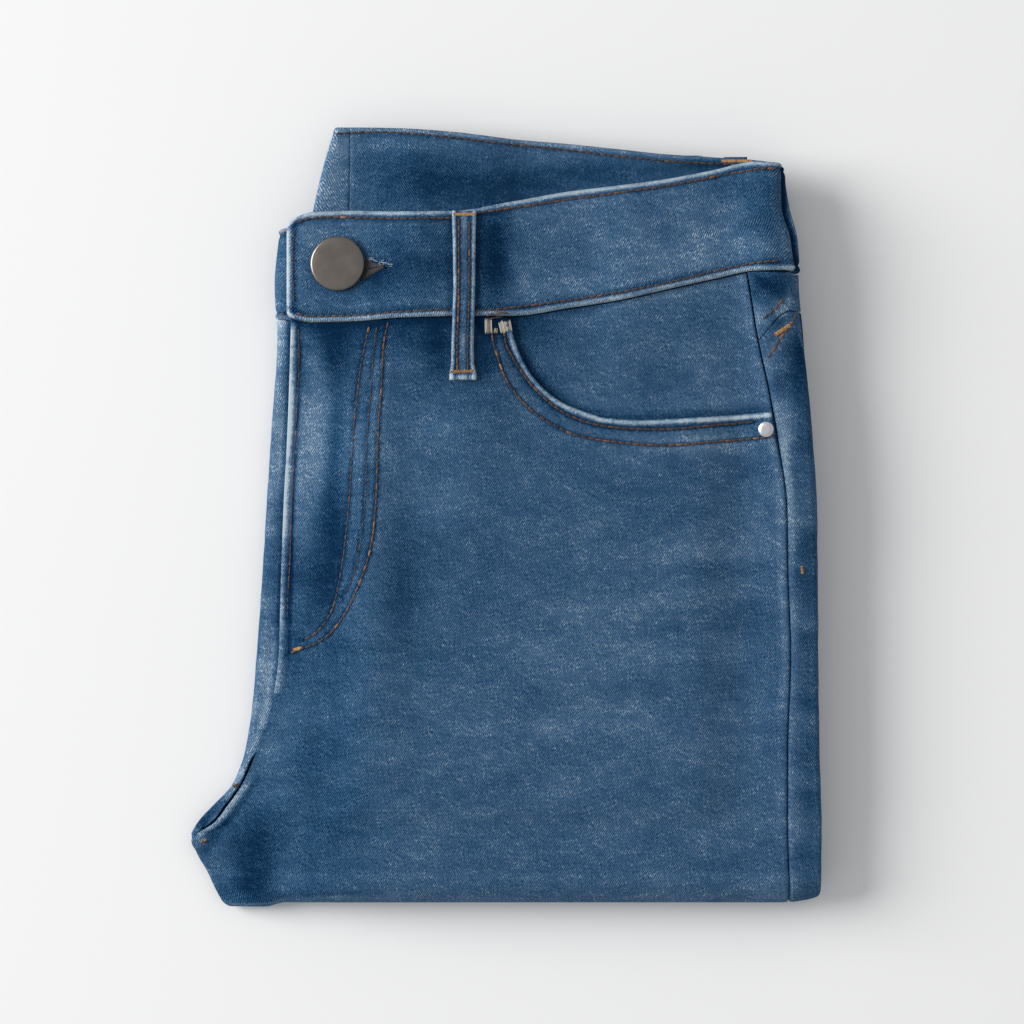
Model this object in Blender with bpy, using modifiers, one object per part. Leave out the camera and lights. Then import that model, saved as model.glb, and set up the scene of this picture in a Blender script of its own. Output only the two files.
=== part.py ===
"""Slim stretch-denim jeans, folded lengthwise and then up under themselves, lying flat.

The right side of the fold is +X, the waist is towards +Y and +Z is up. The origin is on the surface the
jeans lie on, below the middle of their outline. Sizes are in millimetres until a mesh is made.

Four layers of the seat and thighs lie on top, numbered from the top down: left front 0, left back 1,
right back 2 and right front 3. They turn under at the bottom fold. The rest of both legs, turned back on
itself at the knees, is the solid folded_legs between them and the underside.
"""

import math

import bmesh
import bpy
from mathutils import Vector

MM = 0.001

# Thickness of each cloth, and the room kept between pieces
WALL = 1.2
BAND_WALL = 2.5
THIN_WALL = 1.0
LOOP_WALL = 1.5
GAP = 0.3
STEP = WALL + GAP
BAND_STEP = BAND_WALL + GAP
THIN_STEP = THIN_WALL + GAP

# Colours, linear
DENIM = (0.050, 0.140, 0.290)
DENIM_INSIDE = (0.055, 0.130, 0.240)
DENIM_EDGE = (0.110, 0.220, 0.360)
BUTTON_METAL = (0.170, 0.155, 0.145)
RIVET_METAL = (0.800, 0.780, 0.740)
ZIP_TAPE = (0.030, 0.045, 0.080)


def table(columns, *rows):
    """Rows of numbers under named columns, as one tuple for each name."""
    return {name: tuple(row[k] for row in rows) for k, name in enumerate(columns.split())}


# Right side: the side seam on top, and the outermost reach of the left and the right half
RIGHT_SIDE = table(
    "y side_seam left_half right_half",
    (-142, 105.5, 114.6, 113.6),
    (-131, 104.7, 116.8, 115.6),
    (-114, 104.2, 116.9, 115.6),
    (-88, 104.2, 116.1, 114.8),
    (-51, 105.3, 115.6, 114.4),
    (-22, 104.3, 115.4, 114.2),
    (4, 103.8, 115.1, 114.0),
    (26, 100.9, 113.7, 113.0),
    (46, 97.5, 112.0, 111.6),
    (67, 92.9, 109.6, 110.3),
    (88, 89.4, 106.6, 108.6),
    (95, 88.0, 105.6, 108.6),
)

# Left side above the crotch: outermost reach, front seam on top, and the centre back inside the fold
LEFT_SIDE = table(
    "y edge front_seam centre_back",
    (-118, -117.3, -115.2, -108.0),
    (-114, -114.9, -108.6, -106.0),
    (-108, -109.2, -103.9, -101.6),
    (-100, -102.0, -98.3, -96.4),
    (-88, -97.4, -92.9, -92.0),
    (-72, -94.7, -87.3, -90.8),
    (-50, -92.8, -84.1, -88.7),
    (-22, -90.8, -83.3, -86.6),
    (6, -89.1, -82.3, -84.6),
    (38, -87.0, -80.5, -81.8),
    (66, -85.1, -79.8, -79.2),
    (86, -86.0, -79.7, -77.4),
    (106, -84.1, -79.7, -73.6),
)

# Inner leg seams below the crotch
INNER_LEG = table(
    "y left_leg right_leg",
    (-144.5, -103.8, -88.5),
    (-139, -107.0, -88.5),
    (-131, -110.8, -88.5),
    (-127, -113.3, -97.0),
    (-124, -114.6, -106.0),
    (-121, -116.4, -113.0),
    (-118, -117.3, -117.0),
)

# Waistband seen from above: lower and upper edge at the front and at the back
WAIST = table(
    "x front_low front_top back_low back_top",
    (-88, 74.6, 108.0, 104.6, 144.5),
    (-81, 74.0, 109.6, 104.1, 144.5),
    (-72, 71.9, 112.8, 103.4, 144.5),
    (-56, 72.2, 113.2, 102.2, 144.6),
    (-40, 73.4, 112.8, 101.0, 144.2),
    (-20, 74.0, 113.0, 99.5, 142.8),
    (3, 74.2, 116.7, 97.7, 140.0),
    (24, 78.1, 120.4, 96.1, 138.2),
    (42, 81.6, 122.5, 94.7, 136.2),
    (58, 85.1, 124.6, 93.4, 134.4),
    (76, 88.1, 128.0, 92.1, 133.2),
    (92, 90.7, 131.2, 90.8, 132.0),
    (110, 91.2, 130.0, 90.0, 129.6),
)

# Turns of the waistband: the right turn of each half, and the centre back
BAND_TURNS = table(
    "y left_half right_half centre_back",
    (88, 107.2, 108.8, -76.0),
    (94, 106.2, 108.8, -75.2),
    (103, 105.0, 108.2, -74.0),
    (114, 101.9, 105.4, -71.6),
    (124, 101.7, 103.8, -69.4),
    (132, 101.7, 103.2, -67.4),
    (145, 101.7, 103.0, -63.4),
)

# Where the back panels meet the yokes, from the side seam round the turn to the centre back
YOKE_SEAM = table(
    "way y",
    (0.00, 64.0),
    (0.30, 76.0),
    (0.45, 77.0),
    (0.70, 64.0),
    (1.00, 46.0),
)

# Edge of the front pocket's opening, from the waistband to the side seam
POCKET_EDGE = table(
    "x y",
    (-0.4, 80.0),
    (0.7, 74.9),
    (3.1, 66.0),
    (5.3, 60.1),
    (9.1, 53.3),
    (15.0, 46.5),
    (22.6, 41.4),
    (33.0, 37.3),
    (49.8, 35.4),
    (66.8, 36.3),
    (83.8, 37.6),
    (100.0, 39.0),
    (112.0, 40.0),
)

# Top of the folded legs: its height over the distance in from their inner edge
LEG_PILE = table(
    "inside height",
    (-15, -0.1),
    (0, 1.4),
    (10, 3.6),
    (20, 6.4),
    (40, 11.0),
    (60, 13.2),
    (100, 13.8),
    (220, 13.8),
)

# Inner edge of the legs on the underside
LEG_EDGE = table(
    "y x",
    (-146, -104.0),
    (-138, -101.8),
    (-120, -99.0),
    (-100, -96.0),
    (-72, -92.6),
    (-22, -88.4),
    (38, -85.2),
    (98, -83.4),
    (150, -82.0),
)

# Lowest reach of the bottom fold
BOTTOM_FOLD = table(
    "x y",
    (-118, -144.4),
    (-90, -144.4),
    (-82, -142.6),
    (0, -142.4),
    (100, -142.5),
    (108, -142.2),
    (114, -141.2),
    (118, -139.5),
)

# The fold at the knees, and the hems inside
KNEE_FOLD_Y = 102.0
HEM_Y = 62.0
TAIL = 3.0
FLAT_BELOW_Y = -121.0
FOLD_LEVEL_Y = -142.0
UNDER_SEAM_X = 105.5
FOLD_ROUNDNESS = 0.48
SIDE_BULGE = 1.9
LEG_RIDGES = 6
CORE_CLEARANCE = 0.2

# Columns and rows that every layer shares, so that one follows the next exactly
LANE_FIRST = 88.0
LANE_STEP = -20.0
LANES = tuple(LANE_FIRST + LANE_STEP * k for k in range(9))
SHARED_ROWS = (40, 28, 4, -20, -44, -68, -92, -104, -111, -115, -118, -121, -126, -131)
UPPER_STEPS = 4
FOLD_STEPS = 6

# Fly and its hidden layers
UNDERLAP = 12.0
BAND_UNDERLAP_X = -46.0
BAND_JOINT_X = -58.0
BAND_DROP = 2.4
CROTCH_Y = -118.0
NOSE_END_Y = -115.0
RIGHT_SEAM_BACK = 0.8
ZIP_X = (-72.0, -52.0)
ZIP_ROWS = (-44, -20, 4, 28, 40, 48, 56, 64)

# Pocket facing and back pockets
FACING_X = -12.0
FACING_Y = 4.0
BACK_POCKET_X = (-52.0, 68.0)
BACK_POCKET_TOP = 28.0
BACK_POCKET_SIDE = -92.0
BACK_POCKET_POINT = -106.0

# Belt loops: middle x, lower and upper end
LOOP_WIDTH = 9.0
FRONT_LOOP = (-15.6, 50.4, 113.0)
BACK_LEFT_LOOP = (85.0, 76.0, 133.4)
BACK_RIGHT_LOOP = (68.5, 78.0, 134.0)

# Button and rivet
BUTTON_X = -62.3
BUTTON_Y = 93.5
BUTTON_RADIUS = 10.1
BUTTON_DOME = 2.6
BUTTON_STEM = 3.0
HOLE_RADIUS = 4.0
SLIT_END_X = -43.5
SLIT_WIDTH = 1.2
RIVET_X = 96.1
RIVET_Y = 32.2
RIVET_RADIUS = 3.0
RIVET_DOME = 1.0


def line(rows, across, along):
    """A smooth line through two columns of a table, as a function of the first."""
    xs = rows[across]
    ys = rows[along]
    if xs[0] > xs[-1]:
        xs = xs[::-1]
        ys = ys[::-1]
    chords = [(ys[k + 1] - ys[k]) / (xs[k + 1] - xs[k]) for k in range(len(xs) - 1)]
    slopes = [chords[0]]
    for before, after in zip(chords, chords[1:]):
        same_way = before * after > 0
        slopes.append(2 * before * after / (before + after) if same_way else 0.0)
    slopes.append(chords[-1])

    def value(x):
        if x <= xs[0]:
            return ys[0]
        if x >= xs[-1]:
            return ys[-1]
        k = 0
        while x > xs[k + 1]:
            k += 1
        width = xs[k + 1] - xs[k]
        t = (x - xs[k]) / width
        rise = (
            ys[k] * (1 + 2 * t) * (1 - t) ** 2
            + ys[k + 1] * t * t * (3 - 2 * t)
            + width * slopes[k] * t * (1 - t) ** 2
            - width * slopes[k + 1] * t * t * (1 - t)
        )
        return rise

    return value


def mix(a, b, t):
    return a + (b - a) * t


def smooth(x, start, end):
    """0 up to start, 1 from end on, with an easy curve between them."""
    t = min(max((x - start) / (end - start), 0.0), 1.0)
    return t * t * (3 - 2 * t)


def hill(x, foot, top_start, top_end, far_foot):
    return smooth(x, foot, top_start) * (1 - smooth(x, top_end, far_foot))


side_seam = line(RIGHT_SIDE, "y", "side_seam")
right_of_left_half = line(RIGHT_SIDE, "y", "left_half")
right_of_right_half = line(RIGHT_SIDE, "y", "right_half")
left_edge = line(LEFT_SIDE, "y", "edge")
front_seam = line(LEFT_SIDE, "y", "front_seam")
centre_back = line(LEFT_SIDE, "y", "centre_back")
inner_left_leg = line(INNER_LEG, "y", "left_leg")
inner_right_leg = line(INNER_LEG, "y", "right_leg")
front_low = line(WAIST, "x", "front_low")
front_top = line(WAIST, "x", "front_top")
back_low = line(WAIST, "x", "back_low")
back_top = line(WAIST, "x", "back_top")
band_turn_left_half = line(BAND_TURNS, "y", "left_half")
band_turn_right_half = line(BAND_TURNS, "y", "right_half")
band_centre_back = line(BAND_TURNS, "y", "centre_back")
yoke_seam = line(YOKE_SEAM, "way", "y")
leg_pile = line(LEG_PILE, "inside", "height")
leg_edge = line(LEG_EDGE, "y", "x")
bottom_fold = line(BOTTOM_FOLD, "x", "y")


# Heights of the layers


def in_band(x, y):
    """1 where the waistband lies, easing to 0 over the cloth below it."""
    return smooth(y - front_low(x), -42, 0)


def pile_top(x, y):
    """Top of the folded legs, or of the surface below beyond their edge."""
    y = max(y, FLAT_BELOW_Y)
    inside = x - leg_edge(y)
    height = leg_pile(inside)
    hem_step = 0.27 * smooth(y, HEM_Y - 34, HEM_Y + 30)
    overhang = 0.6 * smooth(y, KNEE_FOLD_Y, 156)
    knee_edge = 2.2 * smooth(y, 40, 94) * hill(inside, -14, 0, 6, 30)
    shoulder = 2.6 * smooth(x, 94, 122)
    return height * (1 - hem_step) * (1 - overhang) + knee_edge - shoulder


def support(x, y):
    """What the right front and its belt loop lie on."""
    front_right_loop = (LOOP_WALL + GAP) * hill(x, -52, -32, -9, 8) * smooth(y, 4, 40)
    return pile_top(x, y) + front_right_loop


def right_bulge(x, y):
    """Extra room between two layers at the turn of a leg's side."""
    y = max(y, FLAT_BELOW_Y)
    reach = right_of_left_half(y)
    eased = 1 - 0.5 * (1 - smooth(y, FLAT_BELOW_Y, -90))
    return SIDE_BULGE * smooth(x, reach - 27, reach - 5) * eased


def thin_corner(x, y):
    """1 at the left end of the bottom fold, where the right leg is missing below the left one."""
    return smooth(inner_right_leg(y) - x, 7, 18)


def room_front_back(x, y):
    """Between left front and left back: turn, underlap, zip and pocket facing."""
    waist = in_band(x, y)
    under_fly = 1 - smooth(x, -52, -32)
    under_band = 1 - smooth(x, -36, -12)
    underlap = mix(STEP * under_fly * smooth(y, -104, -92), BAND_STEP * under_band, waist)
    tape = THIN_STEP * (1 - smooth(x, -52, -32)) * smooth(y, -92, -44)
    tape *= 1 - smooth(y, front_low(x), front_low(x) + 24)
    facing = STEP * smooth(x, -32, FACING_X) * smooth(y, -20, FACING_Y)
    facing *= 1 - 0.8 * smooth(y, front_low(x), front_low(x) + 24)
    return STEP + 1.3 * waist + right_bulge(x, y) + underlap + tape + facing


def room_between_backs(x, y):
    """Between left back and right back: both back pockets and the back belt loops."""
    pockets = 2 * THIN_STEP * hill(x, BACK_POCKET_X[0] - 20, BACK_POCKET_X[0], BACK_POCKET_X[1], 88)
    pockets *= hill(y, -118, -104, BACK_POCKET_TOP, 52)
    loops = (LOOP_WALL + 2 * GAP) * hill(x, 28, 48, 95, 110) * smooth(y, 36, 76)
    corner = 0.5 * smooth(-x, 70, 92) * (1 - smooth(y, -121, -104))
    return (STEP + corner + 1.3 * in_band(x, y) + pockets + loops) * (1 - 0.7 * thin_corner(x, y))


def room_back_front(x, y):
    """Between right back and right front."""
    return (STEP + 1.3 * in_band(x, y) + right_bulge(x, y)) * (1 - 0.7 * thin_corner(x, y))


def level(number, x, y):
    """Height of the middle of a layer."""
    z = support(x, y) + GAP + mix(WALL, BAND_WALL, in_band(x, y)) / 2
    if number < 3:
        z += room_back_front(x, y)
    if number < 2:
        z += room_between_backs(x, y)
    if number < 1:
        z += room_front_back(x, y)
    return z


def underlap_level(x, y):
    """Height of the right front's edge where it comes round over the left back."""
    return level(1, x, y) + mix(STEP, BAND_STEP, in_band(x, y))


def fold_height(x):
    """Thickness of the whole pile at the bottom fold."""
    return level(0, x, FOLD_LEVEL_Y) + WALL / 2


def turn_y(x):
    """Where the cloth on top starts to turn under at the bottom fold."""
    return bottom_fold(x) + FOLD_ROUNDNESS * fold_height(x)


def bottom_turn(x, depth, angle):
    """A point of the bottom fold, at a depth below the outside of the pile."""
    height = fold_height(x)
    inside = 1 - 2 * depth / height
    y = turn_y(x) - FOLD_ROUNDNESS * height * inside * math.sin(angle)
    z = height / 2 * (1 + inside * math.cos(angle))
    return x, y, z


def knee_height(x):
    return pile_top(x, KNEE_FOLD_Y) - CORE_CLEARANCE


def knee_turn(x, depth, angle):
    """A point of the fold at the knees, from the underside at angle 0 up to its top at pi."""
    height = knee_height(x)
    inside = 1 - 2 * depth / height
    y = KNEE_FOLD_Y - height / 2 + height / 2 * inside * math.sin(angle)
    z = height / 2 * (1 - inside * math.cos(angle))
    return x, y, z


# Courses across a panel: each takes a share of its width and y, and gives x and z


def along_lanes(right, left, height, lanes=LANES):
    """A stretch between two lines. Its columns are the shared lanes, and steps from them to the lines."""

    def at(share, y):
        kind, value = share
        if kind == "right":
            x = mix(right(y), lanes[0], value)
        elif kind == "left":
            x = mix(lanes[-1], left(y), value)
        else:
            x = value
        return x, height(x, y)

    return at


def flat(number, right, left, lanes=LANES):
    return along_lanes(right, left, lambda x, y: level(number, x, y), lanes)


def lane_shares(right_steps, left_steps, lanes=LANES, leftward=True):
    """Columns of a stretch along the lanes, from the right or from the left."""
    shares = [("right", k / right_steps) for k in range(right_steps)]
    shares += [("lane", x) for x in lanes]
    shares += [("left", (k + 1) / left_steps) for k in range(left_steps)]
    return shares if leftward else shares[::-1]


def strip(start, end):
    """The edge of the right front, round over the left back."""

    def at(t, y):
        x = mix(start(y), end(y), t)
        return x, underlap_level(x, y)

    return at


def half_round(tip, side, upper, lower):
    """Where a turn starts: its x, radius and middle height. side is 1 on the right and -1 on the left."""

    def at(y):
        radius = 1.0
        for _ in range(4):
            x = tip(y) - side * radius
            radius = (upper(x, y) - lower(x, y)) / 2
        return x, radius, (upper(x, y) + lower(x, y)) / 2

    return at


def turn(tip, side, first, second):
    """A half round from one height to another, and the line where it starts."""
    middle = half_round(tip, side, lambda x, y: max(first(x, y), second(x, y)),
                        lambda x, y: min(first(x, y), second(x, y)))

    def at(t, y):
        x, radius, height = middle(y)
        way = 1 if first(x, y) > second(x, y) else -1
        angle = math.pi * t
        return x + side * radius * math.sin(angle), height + way * radius * math.cos(angle)

    def start(y):
        return middle(y)[0]

    return at, start


def quarter(tip, side, own, other):
    """An edge that curls half way towards the layer it is sewn to, and the line where the curl starts."""

    def radius_at(x, y):
        return abs(other(x, y) - own(x, y)) / 2 - GAP

    def start(y):
        x = tip(y) - side
        return tip(y) - side * radius_at(x, y)

    def at(t, y):
        x = start(y)
        radius = radius_at(tip(y) - side, y)
        way = 1 if other(x, y) > own(x, y) else -1
        angle = math.pi / 2 * t
        return x + side * radius * math.sin(angle), own(x, y) + way * radius * (1 - math.cos(angle))

    return at, start


def number_level(number):
    return lambda x, y: level(number, x, y)


def choose_by_y(above, below, border, blend):
    """One course above a line and another below it, mixed over a short way."""

    def at(t, y):
        share = smooth(y, border - blend, border)
        x_above, z_above = above(t, max(y, border - blend))
        x_below, z_below = below(t, min(y, border))
        return mix(x_below, x_above, share), mix(z_below, z_above, share)

    return at


# Making the meshes


def material(name, colour, roughness, metallic):
    made = bpy.data.materials.new(name)
    made.use_nodes = True
    shader = made.node_tree.nodes["Principled BSDF"]
    shader.inputs["Base Color"].default_value = (*colour, 1.0)
    shader.inputs["Roughness"].default_value = roughness
    shader.inputs["Metallic"].default_value = metallic
    return made


def put(name, mesh_data, colour, collection, roughness=0.9, metallic=0.0):
    made = bpy.data.objects.new(name, mesh_data)
    collection.objects.link(made)
    mesh_data.materials.append(material(name, colour, roughness, metallic))
    return made


def sheet(name, point, columns, rows, thickness, colour, collection):
    """A wall whose middle surface is a grid moved to its points."""
    bm = bmesh.new()
    bmesh.ops.create_grid(bm, x_segments=len(columns) - 1, y_segments=len(rows) - 1, size=1.0)
    for vert in bm.verts:
        i = round((vert.co.x + 1) / 2 * (len(columns) - 1))
        j = round((vert.co.y + 1) / 2 * (len(rows) - 1))
        vert.co = Vector(point(columns[i], rows[j])) * MM
    bmesh.ops.triangulate(bm, faces=bm.faces, quad_method="FIXED")
    data = bpy.data.meshes.new(name)
    bm.to_mesh(data)
    bm.free()
    data.shade_smooth()
    made = put(name, data, colour, collection)
    thick = made.modifiers.new("thickness", "SOLIDIFY")
    thick.thickness = thickness * MM
    thick.offset = 0.0
    return made


def block(name, point, across, along, up, colour, collection):
    """A closed box cut into small squares and moved to its points."""
    bm = bmesh.new()
    bmesh.ops.create_cube(bm, size=1.0)
    for axis, count in enumerate((across, along, up)):
        normal = [float(axis == k) for k in range(3)]
        for k in range(1, count):
            place = [(k / count - 0.5) * component for component in normal]
            everything = list(bm.verts) + list(bm.edges) + list(bm.faces)
            bmesh.ops.bisect_plane(bm, geom=everything, plane_co=place, plane_no=normal)
    for vert in bm.verts:
        vert.co = Vector(point(*(round(share + 0.5, 6) for share in vert.co))) * MM
    bmesh.ops.recalc_face_normals(bm, faces=bm.faces)
    data = bpy.data.meshes.new(name)
    bm.to_mesh(data)
    bm.free()
    return put(name, data, colour, collection)


def tilt_of(height, x, y):
    """The turn that lays a flat thing on a sloping surface."""
    reach = 4.0
    slope_x = (height(x + reach, y) - height(x - reach, y)) / (2 * reach)
    slope_y = (height(x, y + reach) - height(x, y - reach)) / (2 * reach)
    return Vector((0, 0, 1)).rotation_difference(Vector((-slope_x, -slope_y, 1))).to_euler()


def turned(name, profile, place, tilt, finish, collection, steps=24):
    """A turned shape from its profile of radius and height, top to bottom."""
    data = bpy.data.meshes.new(name)
    points = [(radius * MM, 0, height * MM) for radius, height in profile]
    edges = [(k, k + 1) for k in range(len(points) - 1)]
    data.from_pydata(points, edges, [])
    made = put(name, data, finish[0], collection, *finish[1:])
    made.location = Vector(place) * MM
    made.rotation_euler = tilt
    screw = made.modifiers.new("turning", "SCREW")
    screw.steps = steps
    screw.render_steps = steps
    screw.use_merge_vertices = True
    screw.merge_threshold = 0.00001
    screw.use_smooth_shade = True
    return made


def steps_between(start, end, count):
    return [mix(start, end, k / count) for k in range(count + 1)]


def courses(*parts):
    """Columns as (course, share), for courses given with a number of steps or a list of shares."""
    columns = []
    for number, (course, shares) in enumerate(parts):
        if isinstance(shares, int):
            shares = steps_between(0, 1, shares)
        columns += [(course, share) for share in shares[0 if number == 0 else 1:]]
    return columns


# Rows of a panel, from its upper edge over the top, round the bottom fold and along the underside to the
# knees, where a tail lies on top of the folded legs
UPPER_ROWS = [("upper", share) for share in steps_between(0, 1, UPPER_STEPS)]
TOP_ROWS = [("y", y) for y in SHARED_ROWS[1:]] + [("lower", 0.5), ("lower", 0.95)]
FOLD_ROWS = [("fold", angle) for angle in steps_between(0, math.pi, FOLD_STEPS)]
TAIL_ROWS = [("tail", TAIL)]
UNDER_ROWS = [("under", share) for share in (0.03, 0.1, 0.25, 0.45, 0.65, 0.85)]
KNEE_ROWS = [("knee", angle) for angle in steps_between(0, math.pi, 6)]
KNEE_TAIL_ROWS = [("knee_tail", 5.0)]


def panel_point(upper_edge, inner_shift=None):
    """A panel's points: over the top, round the bottom fold and along the underside."""

    def top_point(course, share, kind, value):
        y = value if kind == "y" else 0.0
        for _ in range(5):
            x, z = course(share, y)
            if kind == "upper":
                y = mix(upper_edge(x, course), SHARED_ROWS[0], value)
            elif kind == "lower":
                y = mix(SHARED_ROWS[-1], turn_y(x), value)
        return x, y, z

    def point(column, row):
        course, share = column
        kind, value = row
        if kind in ("upper", "y", "lower"):
            return top_point(course, share, kind, value)
        x, y, z = top_point(course, share, "lower", 1.0)
        depth = fold_height(x) - z
        if inner_shift:
            x = inner_shift(x, 0.0 if kind != "fold" else 1 - value / math.pi)
        if kind == "fold":
            return bottom_turn(x, depth, value)
        x, y, z = bottom_turn(x, depth, math.pi)
        if kind == "tail":
            return x, y + value, z
        end_y = KNEE_FOLD_Y - knee_height(x) / 2
        row_y = mix(y, end_y, value if kind == "under" else 1.0)
        outer = leg_edge(y) + 1.0
        across = (x - UNDER_SEAM_X) / (outer - UNDER_SEAM_X)
        x = mix(UNDER_SEAM_X, leg_edge(row_y) + 1.0, across)
        if kind == "under":
            return x, row_y, z
        if kind == "knee":
            return knee_turn(x, z, value)
        x, y, top = knee_turn(x, z, math.pi)
        return x, y - value, top

    return point


def shift_to_leg_edge(x, back):
    """Moves the inner side of the left leg to the right as it turns under. back is 1 on top."""
    share = smooth(-x, 60, 106)
    return x + share * 5.0 * (1 - back)


def build_fronts(collection):
    def left_front_edge(x, course):
        return front_low(x) - GAP

    def right_front_edge(x, course):
        return front_low(x) - BAND_DROP / 2 - GAP

    curl, _ = quarter(lambda y: inner_left_leg(y) + WALL / 2, -1, number_level(0), number_level(1))
    beside_seam = strip_of_level(0, lambda y: front_seam(y) + 0.8, front_seam)
    edge = choose_by_y(beside_seam, curl, CROTCH_Y, 3.5)
    stretch = flat(0, lambda y: side_seam(y) - GAP / 2, lambda y: edge(0.0, y)[0])
    columns = courses((stretch, lane_shares(3, 4)), (edge, 2))
    rows = UPPER_ROWS + TOP_ROWS + FOLD_ROWS + UNDER_ROWS + KNEE_ROWS + KNEE_TAIL_ROWS
    point = panel_point(left_front_edge, shift_to_leg_edge)
    left = sheet("front_left", point, columns, rows, WALL, DENIM, collection)

    nose, nose_start = turn(lambda y: left_edge(y) + WALL / 2, -1, number_level(3), underlap_level)
    beside_seam = -WALL / 2 - 2 * GAP
    over = strip(nose_start, lambda y: front_seam(y) + mix(beside_seam, UNDERLAP, smooth(y, -92, -68)))
    leg_side = strip_of_level(3, lambda y: inner_right_leg(y) + 8.0, lambda y: inner_right_leg(y) + 6.0)
    leg_tip = strip_of_level(3, lambda y: inner_right_leg(y) + 6.0, lambda y: inner_right_leg(y) + 5.0)
    side = choose_by_y(nose, leg_side, NOSE_END_Y, 3.0)
    tongue = choose_by_y(over, leg_tip, NOSE_END_Y, 3.0)
    stretch = flat(3, lambda y: side_seam(y) - RIGHT_SEAM_BACK, lambda y: side(0.0, y)[0])
    columns = courses((stretch, lane_shares(2, 4)), (side, 6), (tongue, 3))
    rows = UPPER_ROWS + TOP_ROWS[:-1] + [("lower", 0.75)]
    sheet("front_right", panel_point(right_front_edge), columns, rows, WALL, DENIM, collection)
    return left


def strip_of_level(number, start, end):
    def at(t, y):
        x = mix(start(y), end(y), t)
        return x, level(number, x, y)

    return at


def build_back(side, collection):
    """The back panel and the yoke of one half, from the side seam round the turn to the centre back."""
    if side == "left":
        outer, own, inner = 0, 1, 2
        tip = lambda y: right_of_left_half(y) - WALL / 2
        seam = lambda y: side_seam(y) + GAP / 2
        inner_leg = inner_left_leg
        shift = shift_to_leg_edge
        front_drop = 0.0
    else:
        outer, own, inner = 3, 2, 1
        tip = lambda y: right_of_right_half(y) - WALL / 2
        seam = lambda y: side_seam(y) - RIGHT_SEAM_BACK + GAP
        inner_leg = inner_right_leg
        shift = None
        front_drop = BAND_DROP / 2
    own_level = number_level(own)
    nose, nose_start = turn(tip, 1, number_level(outer), own_level)
    over = strip_of_level(outer, seam, nose_start)
    to_back, _ = quarter(lambda y: centre_back(y) + WALL / 2, -1, own_level, number_level(inner))
    if side == "left":
        to_front, _ = quarter(lambda y: inner_leg(y) + WALL / 2, -1, own_level, number_level(outer))
    else:
        to_front = strip_of_level(own, lambda y: inner_leg(y) + 2.0, inner_leg)
    edge = choose_by_y(to_back, to_front, CROTCH_Y, 4.0)
    across = flat(own, nose_start, lambda y: edge(0.0, y)[0])
    columns = courses((over, 2), (nose, 6), (across, lane_shares(3, 4)), (edge, 2))

    def way_round(x, course):
        if course is over:
            return 0.1
        if course is nose:
            return 0.3
        return 0.4 + 0.6 * min(max((110 - x) / 180, 0), 1)

    def yoke_edge(x, course):
        if course is over:
            seam_x = side_seam(70.0)
            return yoke_seam(0.3 * (x - seam_x) / (104.0 - seam_x))
        return yoke_seam(way_round(x, course))

    def waist_edge(x, course):
        front = front_low(x) - front_drop
        if course is over or course is nose:
            return min(front, back_low(x)) - 2 * GAP
        return mix(min(front, back_low(x)), back_low(x), smooth(LANES[0] - x, -14, 0)) - 2 * GAP

    rows = UPPER_ROWS + TOP_ROWS + FOLD_ROWS + TAIL_ROWS
    point = panel_point(lambda x, course: yoke_edge(x, course) - GAP, shift)
    sheet("back_" + side, point, columns, rows, WALL, DENIM, collection)

    def yoke_point(column, row):
        course, share = column
        y = 80.0
        for _ in range(5):
            x, z = course(share, y)
            y = mix(waist_edge(x, course), yoke_edge(x, course), row)
        return x, y, z

    sheet("yoke_" + side, yoke_point, columns, steps_between(0, 1, 4), WALL, DENIM, collection)


def band_point(edges):
    """A waistband's points between its lower and upper edge."""

    def point(column, row):
        course, share = column
        y = 100.0
        for _ in range(6):
            x, z = course(share, y)
            low, top = edges(course, share, x)
            y = mix(low, top, row)
        return x, y, z

    return point


def build_waistbands(collection, cutters):
    band = BAND_WALL / 2
    rows = steps_between(0, 1, 4)
    back_lanes = LANES[:-1]

    def left_end(y):
        return -81.3 + 2.2 * smooth(abs(y - 91.5), 14, 20) ** 2

    nose, nose_start = turn(lambda y: band_turn_left_half(y) - band, 1, number_level(0), number_level(1))
    front = flat(0, nose_start, left_end)
    back = flat(1, nose_start, lambda y: BAND_JOINT_X + GAP / 2, back_lanes)

    def left_edges(course, share, x):
        if course is front:
            return front_low(x), front_top(x)
        if course is back:
            return back_low(x), back_top(x)
        return mix(front_low(x), back_low(x), share), mix(front_top(x), back_top(x), share)

    columns = courses((front, lane_shares(2, 3, leftward=False)), (nose, 6), (back, lane_shares(2, 1, back_lanes)))
    left = sheet("waistband_left", band_point(left_edges), columns, rows, BAND_WALL, DENIM, collection)

    back_nose, back_start = turn(lambda y: band_centre_back(y) + band, -1, number_level(1), number_level(2))
    right_nose, right_start = turn(lambda y: band_turn_right_half(y) - band, 1, number_level(2),
                                   number_level(3))
    front_nose, front_start = turn(lambda y: left_edge(y) + band, -1, number_level(3), underlap_level)
    first = strip_of_level(1, lambda y: BAND_JOINT_X - GAP / 2, back_start)
    second = flat(2, right_start, back_start, back_lanes)
    third = flat(3, right_start, front_start)
    last = strip(front_start, lambda y: BAND_UNDERLAP_X)

    def right_edges(course, share, x):
        low = front_low(x) - BAND_DROP / 2
        top = front_top(x) - BAND_DROP
        if course in (first, back_nose, second):
            return back_low(x), back_top(x)
        if course is right_nose:
            return mix(back_low(x), low, share), mix(back_top(x), top, share)
        return low, top

    columns = courses(
        (first, 1), (back_nose, 6), (second, lane_shares(2, 1, back_lanes, leftward=False)),
        (right_nose, 6), (third, lane_shares(2, 2)), (front_nose, 6), (last, 3),
    )
    sheet("waistband_right", band_point(right_edges), columns, rows, BAND_WALL, DENIM, collection)
    cut_buttonhole(left, cutters)


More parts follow.
